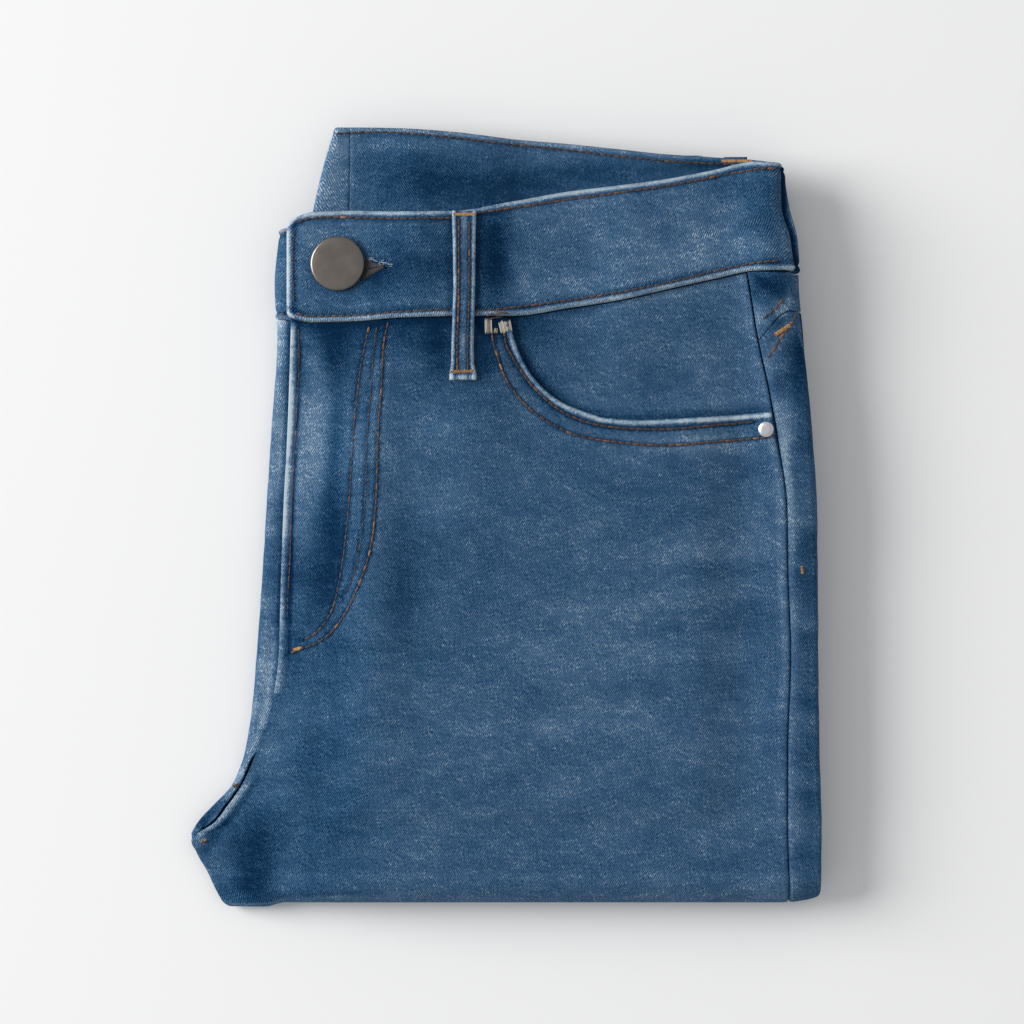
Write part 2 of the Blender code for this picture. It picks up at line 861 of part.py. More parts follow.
def cutter(name, cutters):
    made = bpy.context.object
    made.name = name
    for old in list(made.users_collection):
        old.objects.unlink(made)
    cutters.objects.link(made)
    made.hide_render = True
    made.display_type = "WIRE"
    return made


def cut(piece, tool):
    hole = piece.modifiers.new(tool.name, "BOOLEAN")
    hole.operation = "DIFFERENCE"
    hole.solver = "EXACT"
    hole.object = tool


def cut_buttonhole(piece, cutters):
    """The round end for the stem, and the slit to its right."""
    z = level(0, BUTTON_X, BUTTON_Y)
    reach = 8.0
    bpy.ops.mesh.primitive_cylinder_add(vertices=20, radius=HOLE_RADIUS * MM, depth=reach * MM,
                                        location=Vector((BUTTON_X, BUTTON_Y, z)) * MM)
    cut(piece, cutter("stem_hole", cutters))
    length = SLIT_END_X - BUTTON_X
    bpy.ops.mesh.primitive_cube_add(size=1.0, location=Vector((BUTTON_X + length / 2, BUTTON_Y, z)) * MM)
    slit = cutter("slit", cutters)
    slit.scale = (length * MM, SLIT_WIDTH * MM, reach * MM)
    cut(piece, slit)


def cut_front_pocket(piece, cutters):
    """Takes the corner above the pocket's edge out of the left front."""
    curve = bpy.data.curves.new("pocket_opening", "CURVE")
    curve.dimensions = "2D"
    curve.fill_mode = "BOTH"
    low = 14.0
    high = 40.0
    curve.extrude = (high - low) / 2 * MM
    xs = POCKET_EDGE["x"]
    edge = line(POCKET_EDGE, "x", "y")
    points = [(x, edge(x)) for x in (xs[0], 0.7, 1.8, 3.1, 5.3, 9.1, 15.0, 22.6, 33.0, 49.8, 83.8, xs[-1])]
    points += [(xs[-1], 100.0), (xs[0], 100.0)]
    spline = curve.splines.new("POLY")
    spline.points.add(len(points) - 1)
    for vert, (x, y) in zip(spline.points, points):
        vert.co = (x * MM, y * MM, 0, 1)
    spline.use_cyclic_u = True
    outline = bpy.data.objects.new("pocket_outline", curve)
    cutters.objects.link(outline)
    outline.location = (0, 0, (high + low) / 2 * MM)
    bpy.context.view_layer.update()
    evaluated = outline.evaluated_get(bpy.context.evaluated_depsgraph_get())
    data = bpy.data.meshes.new_from_object(evaluated)
    bm = bmesh.new()
    bm.from_mesh(data)
    bmesh.ops.remove_doubles(bm, verts=bm.verts, dist=0.000001)
    bmesh.ops.recalc_face_normals(bm, faces=bm.faces)
    bm.to_mesh(data)
    bm.free()
    tool = bpy.data.objects.new("pocket_opening", data)
    tool.matrix_world = outline.matrix_world
    cutters.objects.link(tool)
    bpy.data.objects.remove(outline)
    tool.hide_render = True
    tool.display_type = "WIRE"
    cut(piece, tool)


def build_hidden_cloth(collection):
    """The facing in the pocket's opening, the back pockets and the zip, on their panels' own points."""

    def facing(column, row):
        kind, value = row
        y = value if kind == "y" else 60.0
        for _ in range(4):
            x = column if column <= LANES[0] else mix(LANES[0], side_seam(y) - GAP / 2, column - LANES[0])
            if kind == "upper":
                y = mix(front_low(x) - GAP, SHARED_ROWS[0], value)
        return x, y, level(0, x, y) - WALL / 2 - GAP - WALL / 2

    columns = [LANES[0] + 1.0, LANES[0] + 0.5] + [x for x in LANES if x >= FACING_X]
    rows = UPPER_ROWS + [("y", y) for y in SHARED_ROWS[1:] if y >= FACING_Y]
    sheet("pocket_facing_left", facing, columns, rows, WALL, DENIM_INSIDE, collection)

    straight = [y for y in SHARED_ROWS if BACK_POCKET_SIDE + 20 < y <= BACK_POCKET_TOP]

    def back_pocket(number, way):
        def point(column, row):
            x = mix(*BACK_POCKET_X, 1 - column)
            low = mix(BACK_POCKET_POINT, BACK_POCKET_SIDE, abs(2 * column - 1))
            kind, y = row
            if kind == "low":
                y = mix(straight[-1], low, y)
            return x, y, level(number, x, y) + way * (WALL / 2 + GAP + THIN_WALL / 2)

        return point

    for side, number, way in (("left", 1, -1), ("right", 2, 1)):
        rows = [("y", y) for y in straight] + [("low", 0.5), ("low", 1.0)]
        sheet("back_pocket_" + side, back_pocket(number, way), steps_between(0, 1, 6), rows, THIN_WALL, DENIM,
              collection)

    def tape(x, y):
        return x, y, level(0, x, y) - WALL / 2 - GAP - THIN_WALL / 2

    sheet("fly_zip", tape, ZIP_X[::-1], ZIP_ROWS[::-1], THIN_WALL, ZIP_TAPE, collection)


def build_belt_loops(collection):
    def loop(place, number, way, shift):
        middle, low, top = place

        def point(column, row):
            x = middle + LOOP_WIDTH * (column - 0.5)
            y = mix(low, top, row)
            band_edge = (front_low if number in (0, 3) else back_low)(x) + shift
            below_band = WALL / 2 + (BAND_WALL - WALL) / 2 * smooth(y - band_edge, -10, -4)
            return x, y, level(number, x, y) + way * (below_band + GAP + LOOP_WALL / 2)

        return point

    rows = steps_between(0, 1, 10)
    for name, place, number, way, shift in (
        ("belt_loop_front_left", FRONT_LOOP, 0, 1, 0.0),
        ("belt_loop_front_right", (*FRONT_LOOP[:2], FRONT_LOOP[2] - BAND_DROP), 3, -1, -BAND_DROP / 2),
        ("belt_loop_back_left", BACK_LEFT_LOOP, 1, -1, 0.0),
        ("belt_loop_back_right", BACK_RIGHT_LOOP, 2, 1, 0.0),
    ):
        sheet(name, loop(place, number, way, shift), [0, 0.5, 1], rows, LOOP_WALL, DENIM_EDGE, collection)


def build_hardware(collection):
    top = number_level(0)
    z = top(BUTTON_X, BUTTON_Y) + BAND_WALL / 2 + 3 * GAP
    foot = underlap_level(BUTTON_X, BUTTON_Y) + BAND_WALL / 2 + 2 * GAP - z
    profile = [(0, BUTTON_DOME), (BUTTON_RADIUS * 0.45, BUTTON_DOME * 0.97)]
    profile += [(BUTTON_RADIUS * 0.78, BUTTON_DOME * 0.86), (BUTTON_RADIUS * 0.95, BUTTON_DOME * 0.68)]
    profile += [(BUTTON_RADIUS, BUTTON_DOME * 0.42), (BUTTON_RADIUS * 0.95, 0.0), (BUTTON_STEM, 0.0)]
    profile += [(BUTTON_STEM, foot), (0, foot)]
    tilt = tilt_of(top, BUTTON_X, BUTTON_Y)
    turned("button", profile, (BUTTON_X, BUTTON_Y, z), tilt, (BUTTON_METAL, 0.35, 1.0), collection, 32)
    z = top(RIVET_X, RIVET_Y) + WALL / 2 + GAP
    profile = [(0, RIVET_DOME), (RIVET_RADIUS * 0.6, RIVET_DOME * 0.9)]
    profile += [(RIVET_RADIUS * 0.9, RIVET_DOME * 0.55), (RIVET_RADIUS, 0.0), (0, 0.0)]
    tilt = tilt_of(top, RIVET_X, RIVET_Y)
    turned("rivet", profile, (RIVET_X, RIVET_Y, z), tilt, (RIVET_METAL, 0.25, 1.0), collection, 20)


def build_folded_legs(collection):
    """Both legs from the bottom fold to the hems, as one solid with a ridge for each turned edge."""
    lanes = [("left", 1.0), ("left", 0.5)] + [("lane", x) for x in LANES[::-1]]
    lanes += [("lip", 0.5), ("lip", 1.0), ("reach", 0.0), ("reach", 1.0)]
    lip_x = UNDER_SEAM_X + GAP

    def column_x(kind, value, y, w):
        ridge = 1.0 - abs(math.cos(math.pi * LEG_RIDGES * w))
        reach = right_of_right_half(y) - 2.6 + 1.6 * (ridge - 1)
        if kind == "left":
            return mix(LANES[-1], max(leg_edge(y) + 13.0, LANES[-1] - 20.0), value)
        if kind == "lip":
            return mix(LANES[0], lip_x, value)
        if kind == "reach":
            return mix(lip_x + GAP, reach, value)
        return value

    def point(u, v, w):
        kind, value = lanes[round(u * (len(lanes) - 1))]
        y = mix(-130.0, KNEE_FOLD_Y - 6, v)
        for _ in range(4):
            x = column_x(kind, value, y, w)
            y = mix(turn_y(x) + TAIL + 2 * GAP, KNEE_FOLD_Y - knee_height(x) / 2, v)
        on_lip = kind == "reach"
        bottom = 0.0 if on_lip else STEP
        tail_room = 0.0 if on_lip else STEP * smooth(y, KNEE_FOLD_Y - 52, KNEE_FOLD_Y - 24)
        top = pile_top(x, y) - tail_room - CORE_CLEARANCE
        if v < 1.0:
            return x, y, mix(bottom, top, w)
        return knee_turn(x, bottom if on_lip else STEP + CORE_CLEARANCE, math.pi * w)

    block("folded_legs", point, len(lanes) - 1, 14, 2 * LEG_RIDGES, DENIM, collection)


def main():
    for old in list(bpy.data.objects):
        bpy.data.objects.remove(old)
    jeans = bpy.data.collections.new("folded_slim_jeans")
    cutters = bpy.data.collections.new("cutters")
    bpy.context.scene.collection.children.link(jeans)
    bpy.context.scene.collection.children.link(cutters)

    front_left = build_fronts(jeans)
    cut_front_pocket(front_left, cutters)
    build_back("left", jeans)
    build_back("right", jeans)
    build_waistbands(jeans, cutters)
    build_hidden_cloth(jeans)
    build_belt_loops(jeans)
    build_hardware(jeans)
    build_folded_legs(jeans)


main()
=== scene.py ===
"""Looks of the folded slim jeans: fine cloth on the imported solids' forms, with seams, stitching and metal.

Sizes are in millimetres until a mesh is made. +X is the side seams' side, +Y the waist and +Z up.
"""

import math

import bmesh
import bpy
import numpy as np
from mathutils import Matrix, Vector


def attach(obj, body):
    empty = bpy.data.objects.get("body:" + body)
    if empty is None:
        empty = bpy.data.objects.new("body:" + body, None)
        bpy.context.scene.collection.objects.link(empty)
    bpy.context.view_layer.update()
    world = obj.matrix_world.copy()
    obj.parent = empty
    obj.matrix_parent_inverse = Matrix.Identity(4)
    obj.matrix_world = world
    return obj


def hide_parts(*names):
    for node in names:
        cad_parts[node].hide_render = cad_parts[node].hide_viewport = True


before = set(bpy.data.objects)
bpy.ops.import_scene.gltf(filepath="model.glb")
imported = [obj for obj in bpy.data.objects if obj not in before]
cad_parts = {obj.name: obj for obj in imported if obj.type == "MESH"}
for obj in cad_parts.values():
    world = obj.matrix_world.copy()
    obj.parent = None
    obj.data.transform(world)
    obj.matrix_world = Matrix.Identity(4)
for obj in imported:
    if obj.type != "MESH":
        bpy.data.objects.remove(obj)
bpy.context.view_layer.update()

MM = 0.001

# Cloth and the room kept between pieces, as in the solids
WALL = 1.2
BAND_WALL = 2.5
THIN_WALL = 1.0
LOOP_WALL = 1.5
GAP = 0.3
STEP = WALL + GAP
BAND_STEP = BAND_WALL + GAP
THIN_STEP = THIN_WALL + GAP


def table(columns, *rows):
    """Rows of numbers under named columns, as one array for each name."""
    return {name: np.array([row[k] for row in rows], float) for k, name in enumerate(columns.split())}


RIGHT_SIDE = table(
    "y side_seam left_half right_half",
    (-142, 105.5, 114.6, 113.6),
    (-131, 104.7, 116.8, 115.6),
    (-114, 104.2, 116.9, 115.6),
    (-88, 104.2, 116.1, 114.8),
    (-51, 105.3, 115.6, 114.4),
    (-22, 104.3, 115.4, 114.2),
    (4, 103.8, 115.1, 114.0),
    (26, 100.9, 113.7, 113.0),
    (46, 97.5, 112.0, 111.6),
    (67, 92.9, 109.6, 110.3),
    (88, 89.4, 106.6, 108.6),
    (95, 88.0, 105.6, 108.6),
)

LEFT_SIDE = table(
    "y edge front_seam centre_back",
    (-118, -117.3, -115.2, -108.0),
    (-114, -114.9, -108.6, -106.0),
    (-108, -109.2, -103.9, -101.6),
    (-100, -102.0, -98.3, -96.4),
    (-88, -97.4, -92.9, -92.0),
    (-72, -94.7, -87.3, -90.8),
    (-50, -92.8, -84.1, -88.7),
    (-22, -90.8, -83.3, -86.6),
    (6, -89.1, -82.3, -84.6),
    (38, -87.0, -80.5, -81.8),
    (66, -85.1, -79.8, -79.2),
    (86, -86.0, -79.7, -77.4),
    (106, -84.1, -79.7, -73.6),
)

INNER_LEG = table(
    "y left_leg right_leg",
    (-144.5, -103.8, -88.5),
    (-139, -107.0, -88.5),
    (-131, -110.8, -88.5),
    (-127, -113.3, -97.0),
    (-124, -114.6, -106.0),
    (-121, -116.4, -113.0),
    (-118, -117.3, -117.0),
)

WAIST = table(
    "x front_low front_top back_low back_top",
    (-88, 74.6, 108.0, 104.6, 144.5),
    (-81, 74.0, 109.6, 104.1, 144.5),
    (-72, 71.9, 112.8, 103.4, 144.5),
    (-56, 72.2, 113.2, 102.2, 144.6),
    (-40, 73.4, 112.8, 101.0, 144.2),
    (-20, 74.0, 113.0, 99.5, 142.8),
    (3, 74.2, 116.7, 97.7, 140.0),
    (24, 77.2, 120.4, 96.1, 138.2),
    (42, 80.0, 122.5, 94.7, 136.2),
    (58, 83.6, 124.6, 93.4, 134.4),
    (76, 87.6, 128.0, 92.1, 133.2),
    (92, 90.7, 131.2, 90.8, 132.0),
    (110, 91.2, 130.0, 90.0, 129.6),
)

BAND_TURNS = table(
    "y left_half right_half centre_back",
    (88, 107.2, 108.8, -76.0),
    (94, 106.2, 108.8, -75.2),
    (103, 105.0, 108.2, -74.0),
    (114, 101.9, 105.4, -71.6),
    (124, 101.7, 103.8, -69.4),
    (132, 101.7, 103.2, -67.4),
    (145, 101.7, 103.0, -63.4),
)

YOKE_SEAM = table(
    "way y",
    (0.00, 64.0),
    (0.30, 76.0),
    (0.45, 77.0),
    (0.70, 64.0),
    (1.00, 46.0),
)

LEG_PILE = table(
    "inside height",
    (-15, -0.1),
    (0, 1.4),
    (10, 3.6),
    (20, 6.4),
    (40, 11.0),
    (60, 13.2),
    (100, 13.8),
    (220, 13.8),
)

LEG_EDGE = table(
    "y x",
    (-146, -104.0),
    (-138, -101.8),
    (-120, -99.0),
    (-100, -96.0),
    (-72, -92.6),
    (-22, -88.4),
    (38, -85.2),
    (98, -83.4),
    (150, -82.0),
)

BOTTOM_FOLD = table(
    "x y",
    (-118, -145.3),
    (-90, -145.3),
    (-82, -143.6),
    (0, -143.4),
    (100, -143.4),
    (108, -143.0),
    (114, -141.9),
    (118, -140.1),
)

KNEE_FOLD_Y = 102.0
HEM_Y = 62.0
TAIL = 3.0
FLAT_BELOW_Y = -121.0
FOLD_LEVEL_Y = -142.0
UNDER_SEAM_X = 105.5
FOLD_ROUNDNESS = 0.48
SIDE_BULGE = 1.9
LEG_RIDGES = 6
CORE_CLEARANCE = 0.2
UNDERLAP = 12.0
BAND_UNDERLAP_X = -46.0
BAND_JOINT_X = -58.0
BAND_END_X = -81.3
JOINT_GAP = 0.02
JOINT_ROUND = 0.08
BAND_DROP = 2.4
CROTCH_Y = -118.0
NOSE_END_Y = -120.0
RIGHT_SEAM_BACK = 0.8
FACING_X = -12.0
FACING_Y = 4.0
BACK_POCKET_X = (-52.0, 68.0)
BACK_POCKET_TOP = 28.0
LOOP_WIDTH = 9.0
FRONT_LOOP = (-15.6, 50.4, 113.0)
BACK_LEFT_LOOP = (85.0, 76.0, 133.4)
BACK_RIGHT_LOOP = (68.5, 78.0, 134.0)
BUTTON_X = -62.3
BUTTON_Y = 93.5
BUTTON_RADIUS = 10.1
RIVET_X = 96.1
RIVET_Y = 32.2
HOLE_RADIUS = 4.0
HOLE_SIDES = 28
ZIP_X = (-52.0, -72.0)
ZIP_Y = (64.0, -44.0)
FRONT_EDGE_Y = (71.0, -64.0)
LIP_SHARE = 0.94


# Curves and heights of the layers, on arrays


def mix(a, b, t):
    return a + (b - a) * t


def smooth(x, start, end):
    t = np.clip((x - start) / (end - start), 0.0, 1.0)
    return t * t * (3 - 2 * t)


def hill(x, foot, top_start, top_end, far_foot):
    return smooth(x, foot, top_start) * (1 - smooth(x, top_end, far_foot))


def bell(x, middle, width, power=2):
    return np.exp(-(np.abs((x - middle) / width) ** power))


def patches(rows, x, y, power):
    """The sum of rounded patches, each with a middle, a reach, a turn in degrees and a change."""
    total = 0.0 * (x + y)
    for middle_x, middle_y, along, across, turned_by, change in zip(*rows.values()):
        angle = math.radians(turned_by)
        dx = x - middle_x
        dy = y - middle_y
        u = dx * math.cos(angle) + dy * math.sin(angle)
        v = -dx * math.sin(angle) + dy * math.cos(angle)
        total = total + change * np.exp(-(np.abs(u / along) ** power) - (v / across) ** 2)
    return total


def line(rows, across, along, samples=24):
    """A smooth line through two columns of a table, as a function of the first."""
    xs = rows[across]
    ys = rows[along]
    if xs[0] > xs[-1]:
        xs = xs[::-1]
        ys = ys[::-1]
    chords = np.diff(ys) / np.diff(xs)
    slopes = [chords[0]]
    for before, after in zip(chords, chords[1:]):
        slopes.append(2 * before * after / (before + after) if before * after > 0 else 0.0)
    slopes.append(chords[-1])
    fine_x = []
    fine_y = []
    for k in range(len(chords)):
        width = xs[k + 1] - xs[k]
        t = np.arange(samples) / samples
        fine_x.append(xs[k] + width * t)
        fine_y.append(
            ys[k] * (1 + 2 * t) * (1 - t) ** 2
            + ys[k + 1] * t * t * (3 - 2 * t)
            + width * slopes[k] * t * (1 - t) ** 2
            - width * slopes[k + 1] * t * t * (1 - t)
        )
    fine_x.append([xs[-1]])
    fine_y.append([ys[-1]])
    known_x = np.concatenate(fine_x)
    known_y = np.concatenate(fine_y)
    return lambda x: np.interp(x, known_x, known_y)


side_seam = line(RIGHT_SIDE, "y", "side_seam")
right_of_left_half = line(RIGHT_SIDE, "y", "left_half")
right_of_right_half = line(RIGHT_SIDE, "y", "right_half")
left_edge = line(LEFT_SIDE, "y", "edge")
front_seam = line(LEFT_SIDE, "y", "front_seam")
centre_back = line(LEFT_SIDE, "y", "centre_back")
inner_left_leg = line(INNER_LEG, "y", "left_leg")
inner_right_leg = line(INNER_LEG, "y", "right_leg")
front_low = line(WAIST, "x", "front_low")
front_top = line(WAIST, "x", "front_top")
back_low = line(WAIST, "x", "back_low")
back_top = line(WAIST, "x", "back_top")
band_turn_left_half = line(BAND_TURNS, "y", "left_half")
band_turn_right_half = line(BAND_TURNS, "y", "right_half")
band_centre_back = line(BAND_TURNS, "y", "centre_back")
yoke_seam = line(YOKE_SEAM, "way", "y")
leg_pile = line(LEG_PILE, "inside", "height")
leg_edge = line(LEG_EDGE, "y", "x")
bottom_fold = line(BOTTOM_FOLD, "x", "y")


def in_band(x, y):
    return smooth(y - front_low(x), -42, 0)


# Soft folds of the whole pile, with their heights as the change
SOFT_FOLDS = table(
    "x y along across turn change",
    (-63, -10, 52, 5.0, 92, -0.50),
    (-75, -8, 60, 4.0, 91, 0.35),
    (-46, 0, 50, 6.0, 93, 0.25),
    (-58, -60, 26, 5.0, 70, -0.35),
    (25, -30, 62, 7.0, 3, 0.30),
    (30, -42, 60, 5.0, 5, -0.28),
    (20, -58, 66, 8.0, 4, 0.30),
    (35, -72, 58, 6.0, 2, -0.25),
    (0, -88, 70, 9.0, -2, 0.22),
    (-84, -108, 24, 4.0, 40, 0.45),
    (-78, -117, 22, 4.0, 34, -0.45),
    (70, 12, 26, 6.0, -12, 0.25),
    (60, -6, 34, 6.0, -6, -0.2),
)


def soft_folds_at(x, y):
    """Low folds that every layer shares, fading out towards the turns."""
    folds = patches(SOFT_FOLDS, x, y, 4)
    return folds * smooth(y, -132, -112) * (1 - smooth(y, 40, 62)) * (1 - smooth(x, 92, 108))


FOLD_CELL = 0.75
FOLD_ORIGIN = (-130.0, -160.0)
FOLD_COLUMNS = 347
FOLD_ROWS = 427
FOLD_GRID = soft_folds_at(
    FOLD_ORIGIN[0] + FOLD_CELL * np.arange(FOLD_COLUMNS)[None, :],
    FOLD_ORIGIN[1] + FOLD_CELL * np.arange(FOLD_ROWS)[:, None],
)


def soft_folds(x, y):
    """The same folds, read between the points of a grid."""
    column = np.clip((x - FOLD_ORIGIN[0]) / FOLD_CELL, 0, FOLD_COLUMNS - 1.001)
    row = np.clip((y - FOLD_ORIGIN[1]) / FOLD_CELL, 0, FOLD_ROWS - 1.001)
    column, row = np.broadcast_arrays(column, row)
    i = column.astype(int)
    j = row.astype(int)
    u = column - i
    v = row - j
    lower = FOLD_GRID[j, i] * (1 - u) + FOLD_GRID[j, i + 1] * u
    upper = FOLD_GRID[j + 1, i] * (1 - u) + FOLD_GRID[j + 1, i + 1] * u
    return lower * (1 - v) + upper * v


def pile_top(x, y):
    y = np.maximum(y, FLAT_BELOW_Y)
    inside = x - leg_edge(y)
    height = leg_pile(inside)
    hem_step = 0.27 * smooth(y, HEM_Y - 34, HEM_Y + 30)
    overhang = 0.6 * smooth(y, KNEE_FOLD_Y, 156)
    knee_edge = 2.2 * smooth(y, 40, 94) * hill(inside, -14, 0, 6, 30)
    shoulder = 2.6 * smooth(x, 94, 122)
    return height * (1 - hem_step) * (1 - overhang) + knee_edge - shoulder + soft_folds(x, y)


def support(x, y):
    front_right_loop = (LOOP_WALL + GAP) * hill(x, -52, -32, -9, 8) * smooth(y, 4, 40)
    return pile_top(x, y) + front_right_loop


def right_bulge(x, y):
    y = np.maximum(y, FLAT_BELOW_Y)
    reach = right_of_left_half(y)
    eased = 1 - 0.5 * (1 - smooth(y, FLAT_BELOW_Y, -90))
    return SIDE_BULGE * smooth(x, reach - 27, reach - 5) * eased


def thin_corner(x, y):
    return smooth(inner_right_leg(y) - x, 7, 18)


def room_front_back(x, y):
    waist = in_band(x, y)
    under_fly = 1 - smooth(x, -52, -32)
    under_band = 1 - smooth(x, -36, -12)
    underlap = mix(STEP * under_fly * smooth(y, -104, -92), BAND_STEP * under_band, waist)
    tape = THIN_STEP * (1 - smooth(x, -52, -32)) * smooth(y, -92, -44)
    tape = tape * (1 - smooth(y, front_low(x), front_low(x) + 24))
    facing = STEP * smooth(x, -32, FACING_X) * smooth(y, -20, FACING_Y)
    facing = facing * (1 - 0.8 * smooth(y, front_low(x), front_low(x) + 24))
    return STEP + 1.3 * waist + right_bulge(x, y) + underlap + tape + facing


def room_between_backs(x, y):
    pockets = 2 * THIN_STEP * hill(x, BACK_POCKET_X[0] - 20, BACK_POCKET_X[0], BACK_POCKET_X[1], 88)
    pockets = pockets * hill(y, -118, -104, BACK_POCKET_TOP, 52)
    loops = (LOOP_WALL + 2 * GAP) * hill(x, 28, 48, 95, 110) * smooth(y, 36, 76)
    corner = 0.5 * smooth(-x, 70, 92) * (1 - smooth(y, -121, -104))
    return (STEP + corner + 1.3 * in_band(x, y) + pockets + loops) * (1 - 0.7 * thin_corner(x, y))


def room_back_front(x, y):
    return (STEP + 1.3 * in_band(x, y) + right_bulge(x, y)) * (1 - 0.7 * thin_corner(x, y))


def level(number, x, y):
    """Height of the middle of a layer: left front 0, left back 1, right back 2, right front 3."""
    z = support(x, y) + GAP + mix(WALL, BAND_WALL, in_band(x, y)) / 2
    if number < 3:
        z = z + room_back_front(x, y)
    if number < 2:
        z = z + room_between_backs(x, y)
    if number < 1:
        z = z + room_front_back(x, y)
    return z


def underlap_level(x, y):
    return level(1, x, y) + mix(STEP, BAND_STEP, in_band(x, y))


def number_level(number):
    return lambda x, y: level(number, x, y)


def fold_height(x):
    return level(0, x, FOLD_LEVEL_Y + 0 * x) + WALL / 2


def turn_y(x):
    return bottom_fold(x) + FOLD_ROUNDNESS * fold_height(x)


def bottom_turn(x, depth, angle):
    height = fold_height(x)
    inside = 1 - 2 * depth / height
    y = turn_y(x) - FOLD_ROUNDNESS * height * inside * np.sin(angle)
    z = height / 2 * (1 + inside * np.cos(angle))
    return x, y, z


def knee_height(x):
    return pile_top(x, KNEE_FOLD_Y + 0 * x) - CORE_CLEARANCE


def knee_turn(x, depth, angle):
    height = knee_height(x)
    inside = 1 - 2 * depth / height
    y = KNEE_FOLD_Y - height / 2 + height / 2 * inside * np.sin(angle)
    z = height / 2 * (1 - inside * np.cos(angle))
    return x, y, z


# Courses across a panel: each takes a share of its width and y, and gives x and z


def stretch_of(height, start, end):
    def at(t, y):
        x = mix(start(y), end(y), t)
        return x, height(x, y)

    return at


def half_round(tip, side, upper, lower):
    def at(y):
        radius = 1.0 + 0 * y
        for _ in range(6):
            x = tip(y) - side * radius
            radius = (upper(x, y) - lower(x, y)) / 2
        return x, radius, (upper(x, y) + lower(x, y)) / 2

    return at


def turn(tip, side, first, second):
    middle = half_round(tip, side, lambda x, y: np.maximum(first(x, y), second(x, y)),
                        lambda x, y: np.minimum(first(x, y), second(x, y)))

    def at(t, y):
        x, radius, height = middle(y)
        way = np.where(first(x, y) > second(x, y), 1, -1)
        angle = math.pi * t
        return x + side * radius * np.sin(angle), height + way * radius * np.cos(angle)

    def start(y):
        return middle(y)[0]

    return at, start


def quarter(tip, side, own, other):
    def radius_at(x, y):
        return np.abs(other(x, y) - own(x, y)) / 2 - GAP

    def start(y):
        return tip(y) - side * radius_at(tip(y) - side, y)

    def at(t, y):
        x = start(y)
        radius = radius_at(tip(y) - side, y)
        way = np.where(other(x, y) > own(x, y), 1, -1)
        angle = math.pi / 2 * t
        return x + side * radius * np.sin(angle), own(x, y) + way * radius * (1 - np.cos(angle))

    return at, start


def choose_by_y(above, below, border, blend):
    def at(t, y):
        share = smooth(y, border - blend, border)
        x_above, z_above = above(t, np.maximum(y, border - blend))
        x_below, z_below = below(t, np.minimum(y, border))
        return mix(x_below, x_above, share), mix(z_below, z_above, share)

    return at


# Lines sewn or folded on the cloth, by their places in the picture

PIXEL = 0.37
MIDDLE_PX = (506.0, 516.5)


def seen(*pairs):
    """Points of a line in mm, from where the picture shows them."""
    pairs = np.array(pairs, float)
    return np.stack(((pairs[:, 0] - MIDDLE_PX[0]) * PIXEL, (MIDDLE_PX[1] - pairs[:, 1]) * PIXEL), 1)


def run_of(path):
    """The length along a line up to each of its points."""
    return np.concatenate(([0], np.cumsum(np.linalg.norm(np.diff(path, axis=0), axis=1))))


def even_count(path, count):
    """The same line with a number of evenly spaced points."""
    lengths = run_of(path)
    wanted = np.linspace(0, lengths[-1], count)
    return np.stack([np.interp(wanted, lengths, path[:, k]) for k in range(path.shape[1])], 1)


def even_path(points, spacing=0.8):
    """The line through some points, rounded between them and with even steps."""
    points = np.asarray(points, float)
    ends = np.concatenate(([2 * points[0] - points[1]], points, [2 * points[-1] - points[-2]]))
    pieces = []
    for k in range(len(points) - 1):
        a, b, c, d = ends[k:k + 4]
        count = max(int(np.linalg.norm(c - b) / spacing * 2), 2)
        t = (np.arange(count) / count)[:, None]
        pieces.append(0.5 * (2 * b + (c - a) * t + (2 * a - 5 * b + 4 * c - d) * t**2
                             + (3 * b - a - 3 * c + d) * t**3))
    pieces.append(points[-1:])
    fine = np.concatenate(pieces)
    return even_count(fine, max(int(round(run_of(fine)[-1] / spacing)), 1) + 1)


def near(path, x, y):
    """Distance from a line, positive on the left of its way, and the length along it."""
    x, y = np.broadcast_arrays(x, y)
    flat_x = x.ravel()
    flat_y = y.ravel()
    best = np.full(flat_x.shape, 1e9)
    side = np.zeros_like(best)
    along = np.zeros_like(best)
    start = 0.0
    for a, b in zip(path[:-1], path[1:]):
        d = b - a
        length = math.hypot(*d)
        t = np.clip(((flat_x - a[0]) * d[0] + (flat_y - a[1]) * d[1]) / length**2, 0, 1)
        dx = flat_x - a[0] - t * d[0]
        dy = flat_y - a[1] - t * d[1]
        distance = np.hypot(dx, dy)
        nearer = distance < best
        best = np.where(nearer, distance, best)
        side = np.where(nearer, np.sign(d[0] * dy - d[1] * dx), side)
        along = np.where(nearer, start + t * length, along)
        start += length
    return (best * side).reshape(x.shape), along.reshape(x.shape)


FLY_BESIDE_EDGE = seen(
    (298.2, 327.7), (298.8, 360.2), (297, 400), (294.9, 434.2), (291.7, 488.4), (289.9, 542.6),
    (288.4, 575.1), (286.7, 607.7), (287.3, 625),
)
FLY_LEFT = seen(
    (369.7, 325.5), (364.3, 349.4), (358.9, 381.9), (353.5, 434.2), (350.2, 488.4), (345.9, 536.1),
    (340.5, 575.1), (332.9, 607.7), (323.1, 625), (312.3, 635.9), (299.3, 641.3),
)
FLY_MIDDLE = seen(
    (377.3, 325.5), (374, 349.3), (371.9, 380), (367.6, 434.2), (366, 488.4), (362.1, 531.8),
    (354.5, 570.8), (347, 590.3), (342.6, 601.2),
)
FLY_RIGHT = seen(
    (388.6, 321.2), (383.8, 345), (382.1, 380), (378.4, 434.2), (376.2, 501.4), (371.9, 542.6),
    (364.3, 570.8), (355.6, 592.5), (344.8, 614.2), (331.8, 631.5), (316.6, 643.4), (298.2, 650),
    (283.5, 655.9),
)
